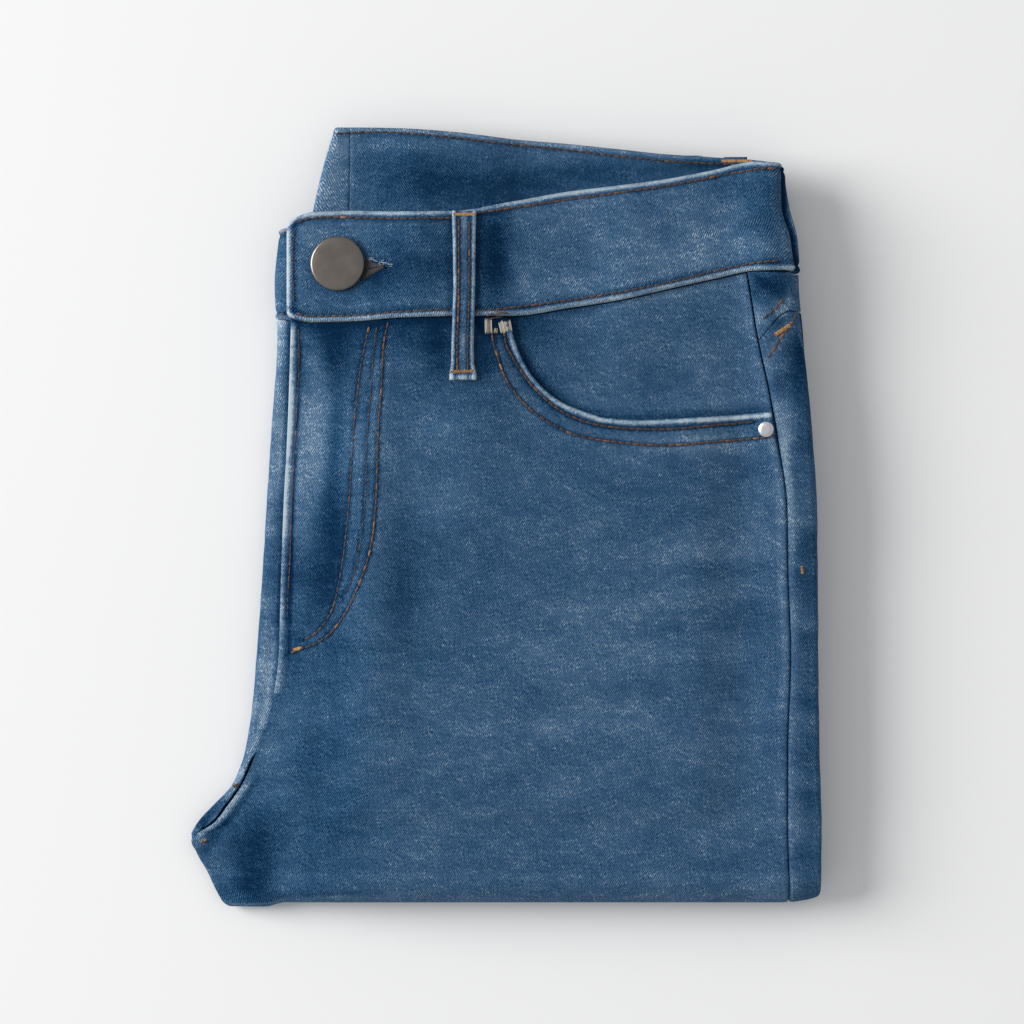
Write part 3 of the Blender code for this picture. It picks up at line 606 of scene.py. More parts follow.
POCKET_RIM = seen(
    (505.0, 302), (506.5, 312), (508, 318), (511.5, 328.5), (514.4, 338.1), (520.2, 354.2),
    (530.5, 372.5), (546.6, 390.9), (567.2, 404.7), (594.8, 415), (606.3, 418.0), (640.7, 420.0),
    (686.6, 417.9), (732.6, 414.9), (769.3, 411.7), (781, 410.6),
)
POCKET_INNER = seen(
    (501.5, 322), (504.8, 336.6), (508.5, 350), (529.4, 382.3), (555.8, 407.5), (583.3, 421.3),
    (617.8, 427.8), (663.7, 429.4), (709.6, 425.9), (755.5, 421.8),
)
POCKET_OUTER = seen(
    (491.5, 326), (492.3, 337), (495, 349), (506.4, 380), (525.9, 405.3), (548.9, 422.5),
    (576.4, 435.1), (617.8, 442.4), (663.7, 445.4), (709.6, 442.4), (755.5, 438.5), (778, 435.8),
)
BACK_BAND = seen(
    (334, 132.3), (370.8, 130.4), (396.8, 131.4), (429.4, 134.3), (461.9, 137.9), (480, 140.2),
    (520, 144.4), (548.9, 147.1), (617.8, 155.6), (675.2, 161.3), (716.5, 163.2), (752, 165.5),
    (779, 166.5),
)
BAND_TOP = seen(
    (296.5, 223), (302, 220), (310, 218.5), (331.8, 217), (396.8, 218.8), (451, 218.2), (465, 215.8),
    (480, 213), (525.9, 206.1), (571.8, 199.2), (617.8, 193), (663.7, 186.6), (698.1, 180.2),
    (732.6, 173.3), (750.3, 170.9), (762, 168.9), (779, 169.5),
)
BAND_BOTTOM = seen(
    (296, 312.5), (301.4, 315.7), (331.8, 316.2), (364.3, 315.1), (396.8, 312.5), (451, 309.9),
    (465, 310.4), (480, 311.0), (525.9, 306.3), (594.8, 296.8), (663.7, 284.2), (709.6, 272.7),
    (755.5, 263.5), (784, 261.4),
)
BAND_LEFT = seen((294.5, 228), (293.2, 245), (293.0, 268), (293.6, 292), (294.6, 308))
SLIVER_TOP = seen((279.5, 231), (290, 230.5))
SLIVER_BOTTOM = seen((279, 313.6), (287, 313.9))
YOKE_STITCH_UPPER = seen((783.6, 298), (774.4, 309.5), (764.7, 317.6), (757.2, 325.6))
YOKE_STITCH_LOWER = seen(
    (796.3, 312.4), (791.1, 323.3), (780.2, 337.6), (774.4, 348.6), (767.6, 357.2), (763.5, 362)
)
CROTCH_STITCH = seen((206, 841), (202, 843), (195, 846))


def spots(*rows):
    """Patches that make the cloth lighter or darker, from wear and fading and from painted shade and painted
    highlights, with their places in the picture.
    """
    made = table("x y along across turn change", *rows)
    made["y"] = -made["y"]
    return made


# Left front: worn and faded patches, painted shade and painted highlights on the fly's creases, and painted
# shadow under the waistband and beside the belt loop.
WEAR_AND_SHADING_SPOTS = spots(
    (304, 440, 82, 15, 88, 0.17),
    (303, 372, 30, 8, 90, -0.16),
    (322, 430, 60, 9, 88, 0.14),
    (316, 364, 12, 12, 0, 0.10),
    (332, 346, 32, 18, 80, -0.32),
    (333, 565, 70, 13, 84, -0.34),
    (318, 540, 45, 10, 84, -0.14),
    (415, 334, 46, 20, 0, -0.26),
    (450, 400, 60, 26, 0, -0.07),
    (405, 580, 26, 40, 0, -0.05),
    (325, 860, 50, 40, 0, -0.06),
    (390, 400, 40, 12, 88, -0.05),
    (400, 560, 60, 14, 86, -0.08),
    (440, 430, 46, 26, 0, 0.02),
    (468, 350, 34, 14, 90, -0.12),
    (700, 404, 70, 12, -2, 0.05),
    (720, 370, 60, 26, 0, 0.01),
    (540, 335, 22, 24, 60, -0.16),
    (570, 372, 30, 14, 35, -0.04),
    (660, 485, 80, 22, 2, -0.05),
    (690, 552, 70, 13, 4, 0.07),
    (650, 600, 70, 10, 5, 0.06),
    (590, 618, 84, 11, -3, 0.07),
    (700, 628, 60, 9, 4, -0.06),
    (600, 654, 110, 13, 0, 0.05),
    (470, 690, 90, 16, 2, 0.03),
    (610, 704, 60, 10, -2, 0.03),
    (540, 728, 110, 10, 1, 0.04),
    (440, 545, 60, 20, 10, -0.05),
    (760, 462, 32, 16, 20, -0.07),
    (762, 520, 26, 22, 90, 0.04),
    (325, 790, 130, 26, 88, -0.06),
    (400, 640, 60, 26, 90, -0.04),
    (262, 866, 66, 20, 82, -0.17),
    (240, 840, 26, 16, 60, -0.10),
    (300, 700, 40, 12, 80, 0.02),
    (500, 888, 260, 14, 0, -0.05),
    (600, 780, 160, 60, 0, 0.02),
    (345, 332, 40, 22, 0, -0.16),
    (335, 370, 30, 20, 90, -0.08),
    (334, 460, 70, 10, 86, -0.22),
    (345, 528, 34, 18, 80, -0.10),
    (286, 575, 36, 10, 88, -0.32),
    (281, 640, 36, 8, 82, -0.22),
    (313, 590, 30, 12, 80, -0.18),
    (295, 655, 40, 14, 80, -0.16),
    (340, 610, 50, 22, 80, -0.08),
    (345, 650, 30, 26, 0, -0.10),
    (335, 760, 110, 40, 90, -0.09),
    (420, 590, 40, 22, 60, -0.08),
    (445, 650, 40, 14, -10, -0.07),
    (410, 385, 20, 14, 0, -0.10),
    (438, 350, 34, 13, 90, -0.26),
    (368, 520, 70, 8, 86, -0.12),
    (360, 385, 40, 9, 88, -0.12),
    (300, 566, 22, 10, 85, -0.14),
    (320, 635, 24, 12, 40, 0.10),
    (486, 345, 36, 11, 90, -0.36),
    (492, 316, 16, 13, 0, -0.44),
    (535, 328, 30, 9, 0, -0.12),
    (530, 374, 36, 10, -50, -0.12),
    (580, 427, 36, 12, -20, -0.10),
    (700, 445, 50, 10, 0, 0.16),
    (730, 421, 40, 6, 0, 0.08),
    (715, 556, 44, 7, 3, 0.07),
    (715, 595, 50, 8, 3, 0.05),
    (675, 525, 20, 12, 60, -0.07),
    (720, 546, 40, 9, 0, 0.06),
    (730, 570, 60, 8, 0, -0.08),
    (760, 630, 22, 24, 0, -0.08),
    (600, 670, 50, 16, 0, 0.06),
    (590, 725, 70, 16, 0, 0.06),
    (580, 640, 90, 10, 0, 0.06),
    (250, 858, 46, 22, 88, -0.24),
    (300, 770, 70, 20, 88, -0.08),
    (232, 893, 30, 14, 20, -0.18),
    (320, 900, 60, 10, 0, -0.14),
    (380, 420, 30, 12, 90, 0.08),
    (312, 420, 40, 8, 90, 0.05),
    (316, 358, 12, 12, 0, 0.14),
    (500, 620, 300, 40, 88, -0.02),
)

# The same for the other pieces that show
EDGE_SPOTS = spots(
    (277, 390, 110, 8, 92, 0.28),
    (281, 305, 40, 8, 90, 0.30),
    (275, 462, 20, 8, 90, 0.10),
    (262, 690, 56, 9, 76, 0.22),
    (281, 640, 40, 9, 80, -0.10),
    (275, 560, 30, 9, 85, -0.08),
    (209, 817, 26, 8, 45, -0.30),
    (231, 784, 16, 7, 55, 0.20),
    (270, 510, 40, 5, 88, 0.16),
    (264, 640, 40, 4, 84, 0.20),
)
# Right side: painted shade on the rounded side edge and in the folds by the yoke, painted highlights on those
# folds, and lighter worn places.
SIDE_SPOTS = spots(
    (786, 445, 60, 6, 90, 0.10),
    (808, 480, 90, 8, 90, -0.09),
    (809, 720, 190, 8, 90, -0.10),
    (797, 580, 22, 14, 90, -0.09),
    (794, 372, 30, 12, 90, -0.18),
    (792, 541, 8, 8, 0, 0.16),
    (768, 286, 20, 14, 0, -0.38),
    (787, 307, 13, 8, 40, 0.30),
    (758, 314, 14, 5, 85, 0.12),
    (779, 321, 11, 4, 20, -0.25),
    (778, 343, 20, 5, 62, 0.26),
    (793, 327, 9, 5, 50, 0.10),
    (800, 352, 26, 8, 85, -0.22),
    (788, 442, 14, 8, 80, 0.20),
    (780, 381, 14, 7, 60, -0.14),
    (800, 420, 70, 9, 86, -0.12),
    (788, 640, 40, 6, 90, 0.06),
)
# Front waistband: painted shadow beside the belt loop and at the buttonhole, with lighter and darker patches
# of wear.
FRONT_BAND_SPOTS = spots(
    (495, 252, 44, 15, 90, -0.44),
    (440, 265, 32, 10, 90, -0.10),
    (430, 250, 22, 10, 0, 0.10),
    (315, 238, 14, 8, 0, 0.12),
    (382, 272, 14, 10, 0, -0.22),
    (400, 262, 34, 26, 0, -0.12),
    (430, 225, 40, 8, 0, -0.06),
    (372, 277, 12, 12, 0, -0.12),
    (315, 268, 10, 16, 0, -0.10),
    (765, 205, 40, 20, 80, -0.20),
    (728, 190, 26, 16, 0, -0.10),
    (640, 272, 90, 12, 8, 0.08),
    (555, 286, 60, 12, 5, 0.07),
    (690, 250, 60, 14, 10, 0.08),
    (758, 246, 18, 10, 0, 0.10),
    (560, 210, 60, 14, 10, 0.03),
    (330, 300, 40, 10, 0, 0.05),
    (335, 225, 40, 6, 0, 0.04),
)
# Inner side of the back waistband: painted shade along the front waistband's upper edge, with lighter patches
# of wear.
BACK_BAND_SPOTS = spots(
    (470, 190, 80, 24, -4, -0.36),
    (610, 174, 100, 13, 3, -0.24),
    (400, 172, 60, 26, 0, -0.12),
    (328, 165, 22, 50, 0, 0.20),
    (360, 146, 40, 8, 0, 0.10),
    (730, 164, 50, 8, 0, -0.22),
)


def wear_and_shading_at(x, y, spots=WEAR_AND_SHADING_SPOTS):
    """How much lighter or darker such patches make the cloth, by wear and by painted shade and painted
    highlights.
    """
    return patches(spots, x / PIXEL + MIDDLE_PX[0], y / PIXEL - MIDDLE_PX[1], 3)


def ripple(along, seed, step):
    """An uneven wave along a seam, between -1 and 1."""
    turns = 2 * math.pi * along / step
    quick = 0.3 * np.sin(1.63 * turns + 2.1 * seed)
    slow = 0.2 * np.sin(0.47 * turns + 4 * seed)
    return 0.5 * np.sin(turns + seed) + quick + slow


def sewn(path, x, y, seed, depth=0.24, pucker=0.10):
    """Relief and colour beside a row of stitches: a trough with painted shade in it, and puckers on both
    sides of it, lighter where they rise.
    """
    d, along = near(path, x, y)
    trough = bell(d, 0, 0.75)
    beside = bell(np.abs(d), 1.5, 1.1)
    wave = ripple(along, seed, 3.4)
    slow = ripple(along, seed * 1.7, 11.0)
    relief = -depth * trough * (1 + 0.25 * wave) + pucker * beside * (0.55 + wave)
    # Painted shade in the trough; the puckers beside it are lighter.
    wear_and_shading = -0.26 * trough + 0.085 * beside * (0.45 + wave) + 0.03 * bell(d, 0, 2.6) * slow
    return relief, wear_and_shading


def ridge(path, x, y, middle, width, height, light, seed, uneven=0.12):
    """Relief and wear of a raised edge that runs beside a line, at a distance to its left."""
    d, along = near(path, x, y)
    shape = bell(d, middle, width, 4)
    wave = ripple(along, seed, 4.2) * uneven + ripple(along, seed * 2.3, 17.0) * uneven
    return height * shape * (1 + 0.5 * wave), light * shape * (1 + wave)


# Fine meshes


def rounded_steps(count, spacing, radii, steps=4):
    """Places along a side of a grid, in its own steps, with more of them where its two ends are rounded."""
    first, last = (min(radius / spacing, 0.45 * count) for radius in radii)
    bend = 1 - np.cos(math.pi / 2 * np.arange(steps + 1) / steps)
    inner = [k for k in range(1, count) if first * 1.15 < k < count - last * 1.15]
    places = np.concatenate((first * bend, inner, count - last * bend[::-1]))
    fullness = np.clip(np.minimum(places / first, (count - places) / last), 0, 1)
    return places, np.sqrt(1 - (1 - fullness) ** 2)


def pick(grid, rows, columns):
    """A grid's values at places between its points."""
    r = np.clip(rows.astype(int), 0, grid.shape[0] - 2)
    c = np.clip(columns.astype(int), 0, grid.shape[1] - 2)
    fr = (rows - r)[:, None]
    fc = (columns - c)[None, :]
    if grid.ndim == 3:
        fr = fr[..., None]
        fc = fc[..., None]
    low = grid[r][:, c] * (1 - fc) + grid[r][:, c + 1] * fc
    high = grid[r + 1][:, c] * (1 - fc) + grid[r + 1][:, c + 1] * fc
    return low * (1 - fr) + high * fr


def normals(grid):
    across = np.gradient(grid, axis=1)
    down = np.gradient(grid, axis=0)
    n = np.cross(across, down)
    return n / np.maximum(np.linalg.norm(n, axis=2, keepdims=True), 1e-9)


def quads(index, flip):
    """The faces of a grid from its points' numbers."""
    a, b, d, e = index[:-1, :-1], index[:-1, 1:], index[1:, 1:], index[1:, :-1]
    return np.stack([part.ravel() for part in ((a, e, d, b) if flip else (a, b, d, e))], 1)


def plan(grid):
    """A grid's x and y."""
    return grid[..., 0], grid[..., 1]


def make_mesh(name, points, faces, smooth_shading=True):
    data = bpy.data.meshes.new(name)
    data.from_pydata((points * MM).tolist(), [], faces.tolist() if hasattr(faces, "tolist") else faces)
    data.update()
    if smooth_shading:
        data.shade_smooth()
    made = bpy.data.objects.new(name, data)
    bpy.context.scene.collection.objects.link(made)
    return made


def add_values(made, name, kind, values):
    attribute = made.data.attributes.new(name, kind, "POINT")
    key = "vector" if kind == "FLOAT_VECTOR" else "value"
    attribute.data.foreach_set(key, np.asarray(values, np.float32).ravel())


def shell(name, middle, thick, weave, face, outer=0.0, inner=0.0, outer_wear_and_shading=0.0, inner_wear_and_shading=0.0, ends=None):
    """A cloth wall with rounded edges around a grid of middle points.

    outer and inner are relief on its two sides, and the two wear and shading values say how light each side
    is, from wear and from painted shade and painted highlights. ends gives how round the first and the last
    column are.
    """
    rows, columns = middle.shape[:2]
    radii = (thick / 2, thick / 2)
    row_space = np.median(np.linalg.norm(np.diff(middle, axis=0), axis=2)[[0, 1, -2, -1]])
    column_space = np.median(np.linalg.norm(np.diff(middle, axis=1), axis=2)[:, [0, 1, -2, -1]])
    row_at, row_full = rounded_steps(rows - 1, row_space, radii)
    column_at, column_full = rounded_steps(columns - 1, column_space, ends or radii)
    full = row_full[:, None] * column_full[None, :]

    def read(values):
        return pick(np.zeros((rows, columns)) + values, row_at, column_at)

    def both(on_outer, on_inner):
        """Values of the outer side's points, then of the inner side's, which has no rim of its own."""
        sides = (on_outer, on_inner[1:-1, 1:-1])
        return np.concatenate([values.reshape(-1, *values.shape[2:]) for values in sides])

    n = pick(normals(middle) * face, row_at, column_at)
    n /= np.maximum(np.linalg.norm(n, axis=2, keepdims=True), 1e-9)
    centre = pick(middle, row_at, column_at)
    top = centre + n * (thick / 2 * full + read(outer) * full)[..., None]
    low = centre - n * (thick / 2 * full + read(inner) * full)[..., None]
    r, c = full.shape
    index_top = np.arange(r * c).reshape(r, c)
    index_low = index_top.copy()
    index_low[1:-1, 1:-1] = r * c + np.arange((r - 2) * (c - 2)).reshape(r - 2, c - 2)
    faces = np.concatenate((quads(index_top, face < 0), quads(index_low, face > 0)))
    made = make_mesh(name, both(top, low), faces)
    place = pick(weave, row_at, column_at)
    add_values(made, "weave", "FLOAT_VECTOR", both(place, place))
    add_values(made, "wear_and_shading", "FLOAT", both(read(outer_wear_and_shading) + 0.10 * (1 - full) ** 2, read(inner_wear_and_shading)))
    return made


# Panels, on the solids' own surfaces


def steps(start, end, size):
    count = max(int(round(abs(end - start) / size)), 2)
    return np.linspace(start, end, count + 1)


def shares(count):
    return np.linspace(0, 1, count + 1)


def top_part(course, share, upper_edge, base_y, upper_count, y_rows, lower_count):
    """Points of one course from the panel's upper edge down to where it turns under."""
    share = share[None, :]
    rows = upper_count + len(y_rows) + lower_count
    y = np.zeros((rows, share.shape[1])) + base_y
    y[upper_count:upper_count + len(y_rows)] = y_rows[:, None]
    up = (np.arange(upper_count) / upper_count)[:, None]
    low = ((np.arange(lower_count) + 1) / lower_count)[:, None]
    for _ in range(6):
        x, z = course(share, y)
        x = x + 0 * y
        if upper_count:
            y[:upper_count] = mix(upper_edge(x[:upper_count], y[:upper_count], course), base_y, up)
        if lower_count:
            y[-lower_count:] = mix(y_rows[-1], turn_y(x[-lower_count:]), low)
    x, z = course(share, y)
    return np.stack((x + 0 * y, y, z + 0 * y), 2)


def turned_part(last, angles, tail, shift=None):
    """Rows round the bottom fold from a panel's last row on top, and a tail on the underside."""
    x, _, z = last.T
    depth = fold_height(x) - z
    rows = []
    for angle in angles:
        moved = shift(x, 1 - angle / math.pi) if shift else x
        rows.append(np.stack(bottom_turn(moved, depth, angle), 1))
    moved = shift(x, 0.0) if shift else x
    px, py, pz = bottom_turn(moved, depth, math.pi)
    for length in tail:
        rows.append(np.stack((px, py + length, pz), 1))
    return np.stack(rows)


def under_part(last, shift):
    """Rows of the left front along the underside, round the knees and on top of the legs."""
    x, _, z = last.T
    depth = fold_height(x) - z
    px, py, pz = bottom_turn(shift(x, 0.0), depth, math.pi)
    outer = leg_edge(py) + 1.0
    across = (px - UNDER_SEAM_X) / (outer - UNDER_SEAM_X)
    end_y = KNEE_FOLD_Y - knee_height(px) / 2
    rows = []
    for share in np.concatenate(([0.01, 0.03], np.linspace(0.06, 0.98, 34))):
        y = mix(py, end_y, share)
        rows.append(np.stack((mix(UNDER_SEAM_X, leg_edge(y) + 1.0, across), y, pz), 1))
    end_x = mix(UNDER_SEAM_X, leg_edge(end_y) + 1.0, across)
    for angle in np.linspace(0, math.pi, 13):
        rows.append(np.stack(knee_turn(end_x, pz, angle), 1))
    kx, ky, kz = knee_turn(end_x, pz, math.pi)
    for length in (1.7, 3.4, 5.0):
        rows.append(np.stack((kx, ky - length, kz), 1))
    return np.stack(rows)


def lengths_of(grid, axis):
    """Length along a grid from its first row or column."""
    gaps = np.linalg.norm(np.diff(grid, axis=axis), axis=2)
    zero = np.zeros_like(np.take(gaps, [0], axis=axis))
    return np.concatenate((zero, np.cumsum(gaps, axis=axis)), axis=axis)


def weave_of(grid, top_rows, reference_column=None):
    """Where each point lies in the cloth, along its width and its grain."""
    u = grid[..., 0].copy()
    v = grid[..., 1].copy()
    if reference_column is not None:
        along = lengths_of(grid, 1)
        k = reference_column
        u = grid[:, k:k + 1, 0] + (along - along[:, k:k + 1])
    if top_rows < len(grid):
        down = lengths_of(grid, 0)
        v[top_rows:] = v[top_rows - 1] - (down[top_rows:] - down[top_rows - 1])
        u[top_rows:] = u[top_rows - 1]
    return np.stack((u, v, 0 * u), 2)


def shift_to_leg_edge(x, back):
    return x + smooth(-x, 60, 106) * 5.0 * (1 - back)


GRAIN = 1.5
BASE_Y = 20.0
LOWER_GRAIN = 1.6
LOWER_BASE_Y = 40.0
FOOT_Y = -131.0
POCKET_END_X = -14.0
FOLD_ANGLES = np.linspace(0, math.pi, 17)

pocket_rim = even_path(POCKET_RIM, 0.6)
pocket_inner = even_path(POCKET_INNER)
pocket_outer = even_path(POCKET_OUTER)
fly_beside_edge = even_path(FLY_BESIDE_EDGE)
fly_left = even_path(FLY_LEFT)
fly_middle = even_path(FLY_MIDDLE)
fly_right = even_path(FLY_RIGHT)
front_edge_y = np.linspace(*FRONT_EDGE_Y, 90)
front_edge_line = np.stack((front_seam(front_edge_y) + 0.2, front_edge_y), 1)


def left_front_rim():
    """The upper edge of the left front from the side seam, round the pocket's opening, to the fly."""
    reach = pocket_rim[(pocket_rim[:, 1] < front_low(pocket_rim[:, 0]) - GAP)
                       & (pocket_rim[:, 0] < side_seam(pocket_rim[:, 1]) - 0.2)][::-1]
    left = np.linspace(reach[-1, 0], front_seam(72.0) + 0.2, 80)[1:]
    along_band = np.stack((left, front_low(left) - GAP - 0.1), 1)
    return reach, along_band


def build_left_front():
    curl, _ = quarter(lambda y: inner_left_leg(y) - WALL / 2, -1, number_level(0), number_level(1))
    beside = stretch_of(number_level(0), lambda y: front_seam(y) + 0.8, front_seam)
    edge = choose_by_y(beside, curl, CROTCH_Y, 3.5)
    across = stretch_of(number_level(0), lambda y: side_seam(y) - GAP / 2, lambda y: edge(0.0, y)[0])
    y_rows = steps(BASE_Y, FOOT_Y, GRAIN)
    main = top_part(across, shares(140), None, BASE_Y, 0, y_rows, 5)
    side = top_part(edge, shares(3)[1:], None, BASE_Y, 0, y_rows, 5)
    top = np.concatenate((main, side), 1)
    rim_pocket, rim_band = left_front_rim()
    first = top[0, :, 0]
    corner = int(np.searchsorted(-first, -POCKET_END_X))
    upper_count = 38
    rim = np.concatenate((
        even_count(rim_pocket, corner + 1)[:-1],
        even_count(np.concatenate((rim_pocket[-1:], rim_band)), len(first) - corner),
    ))
    share = (np.arange(upper_count) / upper_count)[:, None]
    ease = share**1.15
    upper = np.empty((upper_count, len(first), 3))
    upper[..., 0] = mix(rim[None, :, 0], first[None, :], ease)
    upper[..., 1] = mix(rim[None, :, 1], BASE_Y, share)
    upper[..., 2] = level(0, upper[..., 0], upper[..., 1])
    top = np.concatenate((upper, top))
    fold = turned_part(top[-1], FOLD_ANGLES, [], shift_to_leg_edge)
    under = under_part(top[-1], shift_to_leg_edge)
    grid = np.concatenate((top[:-1], fold, under))
    x, y = plan(grid)
    rows = len(top) - 1
    relief = np.zeros(x.shape)
    wear_and_shading = np.zeros(x.shape)
    for made_relief, made_wear_and_shading in left_front_details(x[:rows + 4], y[:rows + 4]):
        relief[:rows + 4] += made_relief
        wear_and_shading[:rows + 4] += made_wear_and_shading
    wear_and_shading[:rows + 4] += wear_and_shading_at(x[:rows + 4], y[:rows + 4])
    fade_out = np.linspace(1, 0, 5)[:, None]
    relief[rows:rows + 4] *= fade_out[:4]
    below = (y < -132) & (np.arange(len(x))[:, None] < rows + 20)
    wear_and_shading += 0.05 * below
    under_rows = np.arange(len(x))[:, None] > rows + 15
    wear_and_shading += under_rows * (0.03 * np.sin(x / 23) * np.sin(y / 31))
    weave = weave_of(grid, rows)
    return shell("front_left_cloth", grid, WALL, weave, 1, relief, 0.0, wear_and_shading, -0.05)


def left_front_details(x, y):
    """Relief, wear and painted shade of the left front's seams and edges, with painted shade in their
    troughs, under the waistband and in the crease at the crotch.
    """
    yield sewn(fly_left, x, y, 1.3)
    yield sewn(fly_middle, x, y, 2.2, 0.16, 0.06)
    yield sewn(fly_right, x, y, 3.1)
    yield sewn(fly_beside_edge, x, y, 4.6, 0.18, 0.05)
    yield sewn(pocket_inner, x, y, 5.2)
    yield sewn(pocket_outer, x, y, 6.4)
    yield ridge(pocket_rim, x, y, -1.2, 0.95, 0.42, 0.40, 2.0)
    d, _ = near(pocket_rim, x, y)
    # Painted shade in the trough below the pocket's rim and on its edge.
    yield -0.15 * bell(d, -3.4, 1.0), -0.17 * bell(d, -3.5, 1.2) - 0.10 * bell(d, 0.0, 0.5)
    yield ridge(front_edge_line, x, y, 0.0, 2.0, 0.60, 0.50, 5.0)
    d, _ = near(front_edge_line, x, y)
    # Painted shade in the troughs on both sides of the fly's edge.
    yield -0.25 * bell(np.abs(d), 3.2, 0.9), -0.24 * bell(np.abs(d), 3.2, 1.0) * smooth(y, -62, -40)
    d = x - front_seam(y)
    low_seam = (1 - smooth(y, -103, -94)) * smooth(y, -124, -116)
    wave = ripple(y, 9.0, 5.0)
    yield 0.40 * low_seam * bell(d, 1.5, 1.7), 0.42 * low_seam * bell(d, 1.3, 1.7) * (1 + 0.25 * wave)
    # Painted shade in the trough beside the low seam.
    yield -0.35 * low_seam * bell(d, 4.4, 1.1), -0.26 * low_seam * bell(d, 4.4, 1.2)
    high_seam = smooth(y, -103, -94) * (1 - smooth(y, -56, -46))
    yield 0.10 * high_seam * bell(d, 1.4, 1.2), -0.10 * high_seam * bell(d, 0.3, 0.9)
    d, _ = near(fly_right, x, y)
    inside_fly = smooth(-d, -0.5, 1.2) * (x < -30) * smooth(y, -52, -44)
    yield 0.22 * inside_fly, 0.0 * x
    seam_x = side_seam(y)
    beside = bell(x - seam_x, -2.2, 1.6) * smooth(y, -142, -120)
    wave = ripple(y, 2.7, 6.3)
    light = 0.13 * hill(y, -78, -50, 34, 46) + 0.05 + 0.05 * wave
    yield 0.24 * beside * (1 + 0.5 * wave), beside * light - 0.05 * bell(x, seam_x, 1.2)
    # Painted shadow under the waistband's lower edge.
    yield 0.0 * x, -0.42 * bell(front_low(x), y, 2.8) * (1 - smooth(x, -8, 14))
    corner_patch = bell(x, -3.3, 5.4, 4) * bell(y, 71.3, 4.6, 4)
    yield 0.25 * corner_patch, -0.30 * corner_patch
    # A crease at the crotch, with painted shade in it.
    crease = even_path(seen((225.8, 823), (219.4, 831), (212.4, 841), (206, 850)), 1.0)
    d, _ = near(crease, x, y)
    yield -0.5 * bell(d, 0, 1.6), -0.22 * bell(d, 0, 2.0)


def build_right_front():
    nose, nose_start = turn(lambda y: left_edge(y) + WALL / 2, -1, number_level(3), underlap_level)
    beside_seam = -WALL / 2 - 2 * GAP
    over = stretch_of(underlap_level, nose_start,
                      lambda y: front_seam(y) + mix(beside_seam, UNDERLAP, smooth(y, -92, -68)))

    def in_leg(start, end):
        leg = inner_right_leg
        return stretch_of(number_level(3), lambda y: leg(y) + start, lambda y: leg(y) + end)

    side = choose_by_y(nose, in_leg(8.0, 6.0), NOSE_END_Y, 3.0)
    tongue = choose_by_y(over, in_leg(6.0, 5.0), NOSE_END_Y, 3.0)
    across = stretch_of(number_level(3), lambda y: side_seam(y) - RIGHT_SEAM_BACK, lambda y: side(0.0, y)[0])

    def edge(x, y, course):
        return front_low(x) - BAND_DROP / 2 - GAP

    across_count = 70
    y_rows = steps(LOWER_BASE_Y, FOOT_Y, LOWER_GRAIN)
    courses = ((across, shares(across_count)), (side, shares(14)[1:]), (tongue, shares(12)[1:]))
    parts = [top_part(course, share, edge, LOWER_BASE_Y, 20, y_rows, 3) for course, share in courses]
    grid = np.concatenate(parts, 1)
    x, y = plan(grid)
    columns = np.arange(x.shape[1])[None, :]
    on_nose = columns > across_count + 2
    d = x - left_edge(y)
    tuck = ripple(y, 3.3, 13.0) * bell(d, 0, 3.0) * on_nose
    seam_light = bell(x - front_seam(y), -2.0, 1.4) * on_nose * (y < -40)
    wear_and_shading = -0.04 + 0.10 * tuck + 0.22 * seam_light * (1 + 0.5 * ripple(y, 1.1, 7.0))
    wear_and_shading = wear_and_shading + 0.04 * ripple(y + x * 0.3, 5.0, 22.0) + wear_and_shading_at(x, y, EDGE_SPOTS) * on_nose
    # Painted shade along the front seam on the turned edge.
    wear_and_shading = wear_and_shading - 0.34 * bell(x, front_seam(y) - 0.5, 0.9) * on_nose * smooth(y, -70, -50)
    weave = weave_of(grid, len(grid), across_count)
    return shell("front_right_cloth", grid, WALL, weave, -1, 0.10 * tuck, 0.0, wear_and_shading, -0.06)


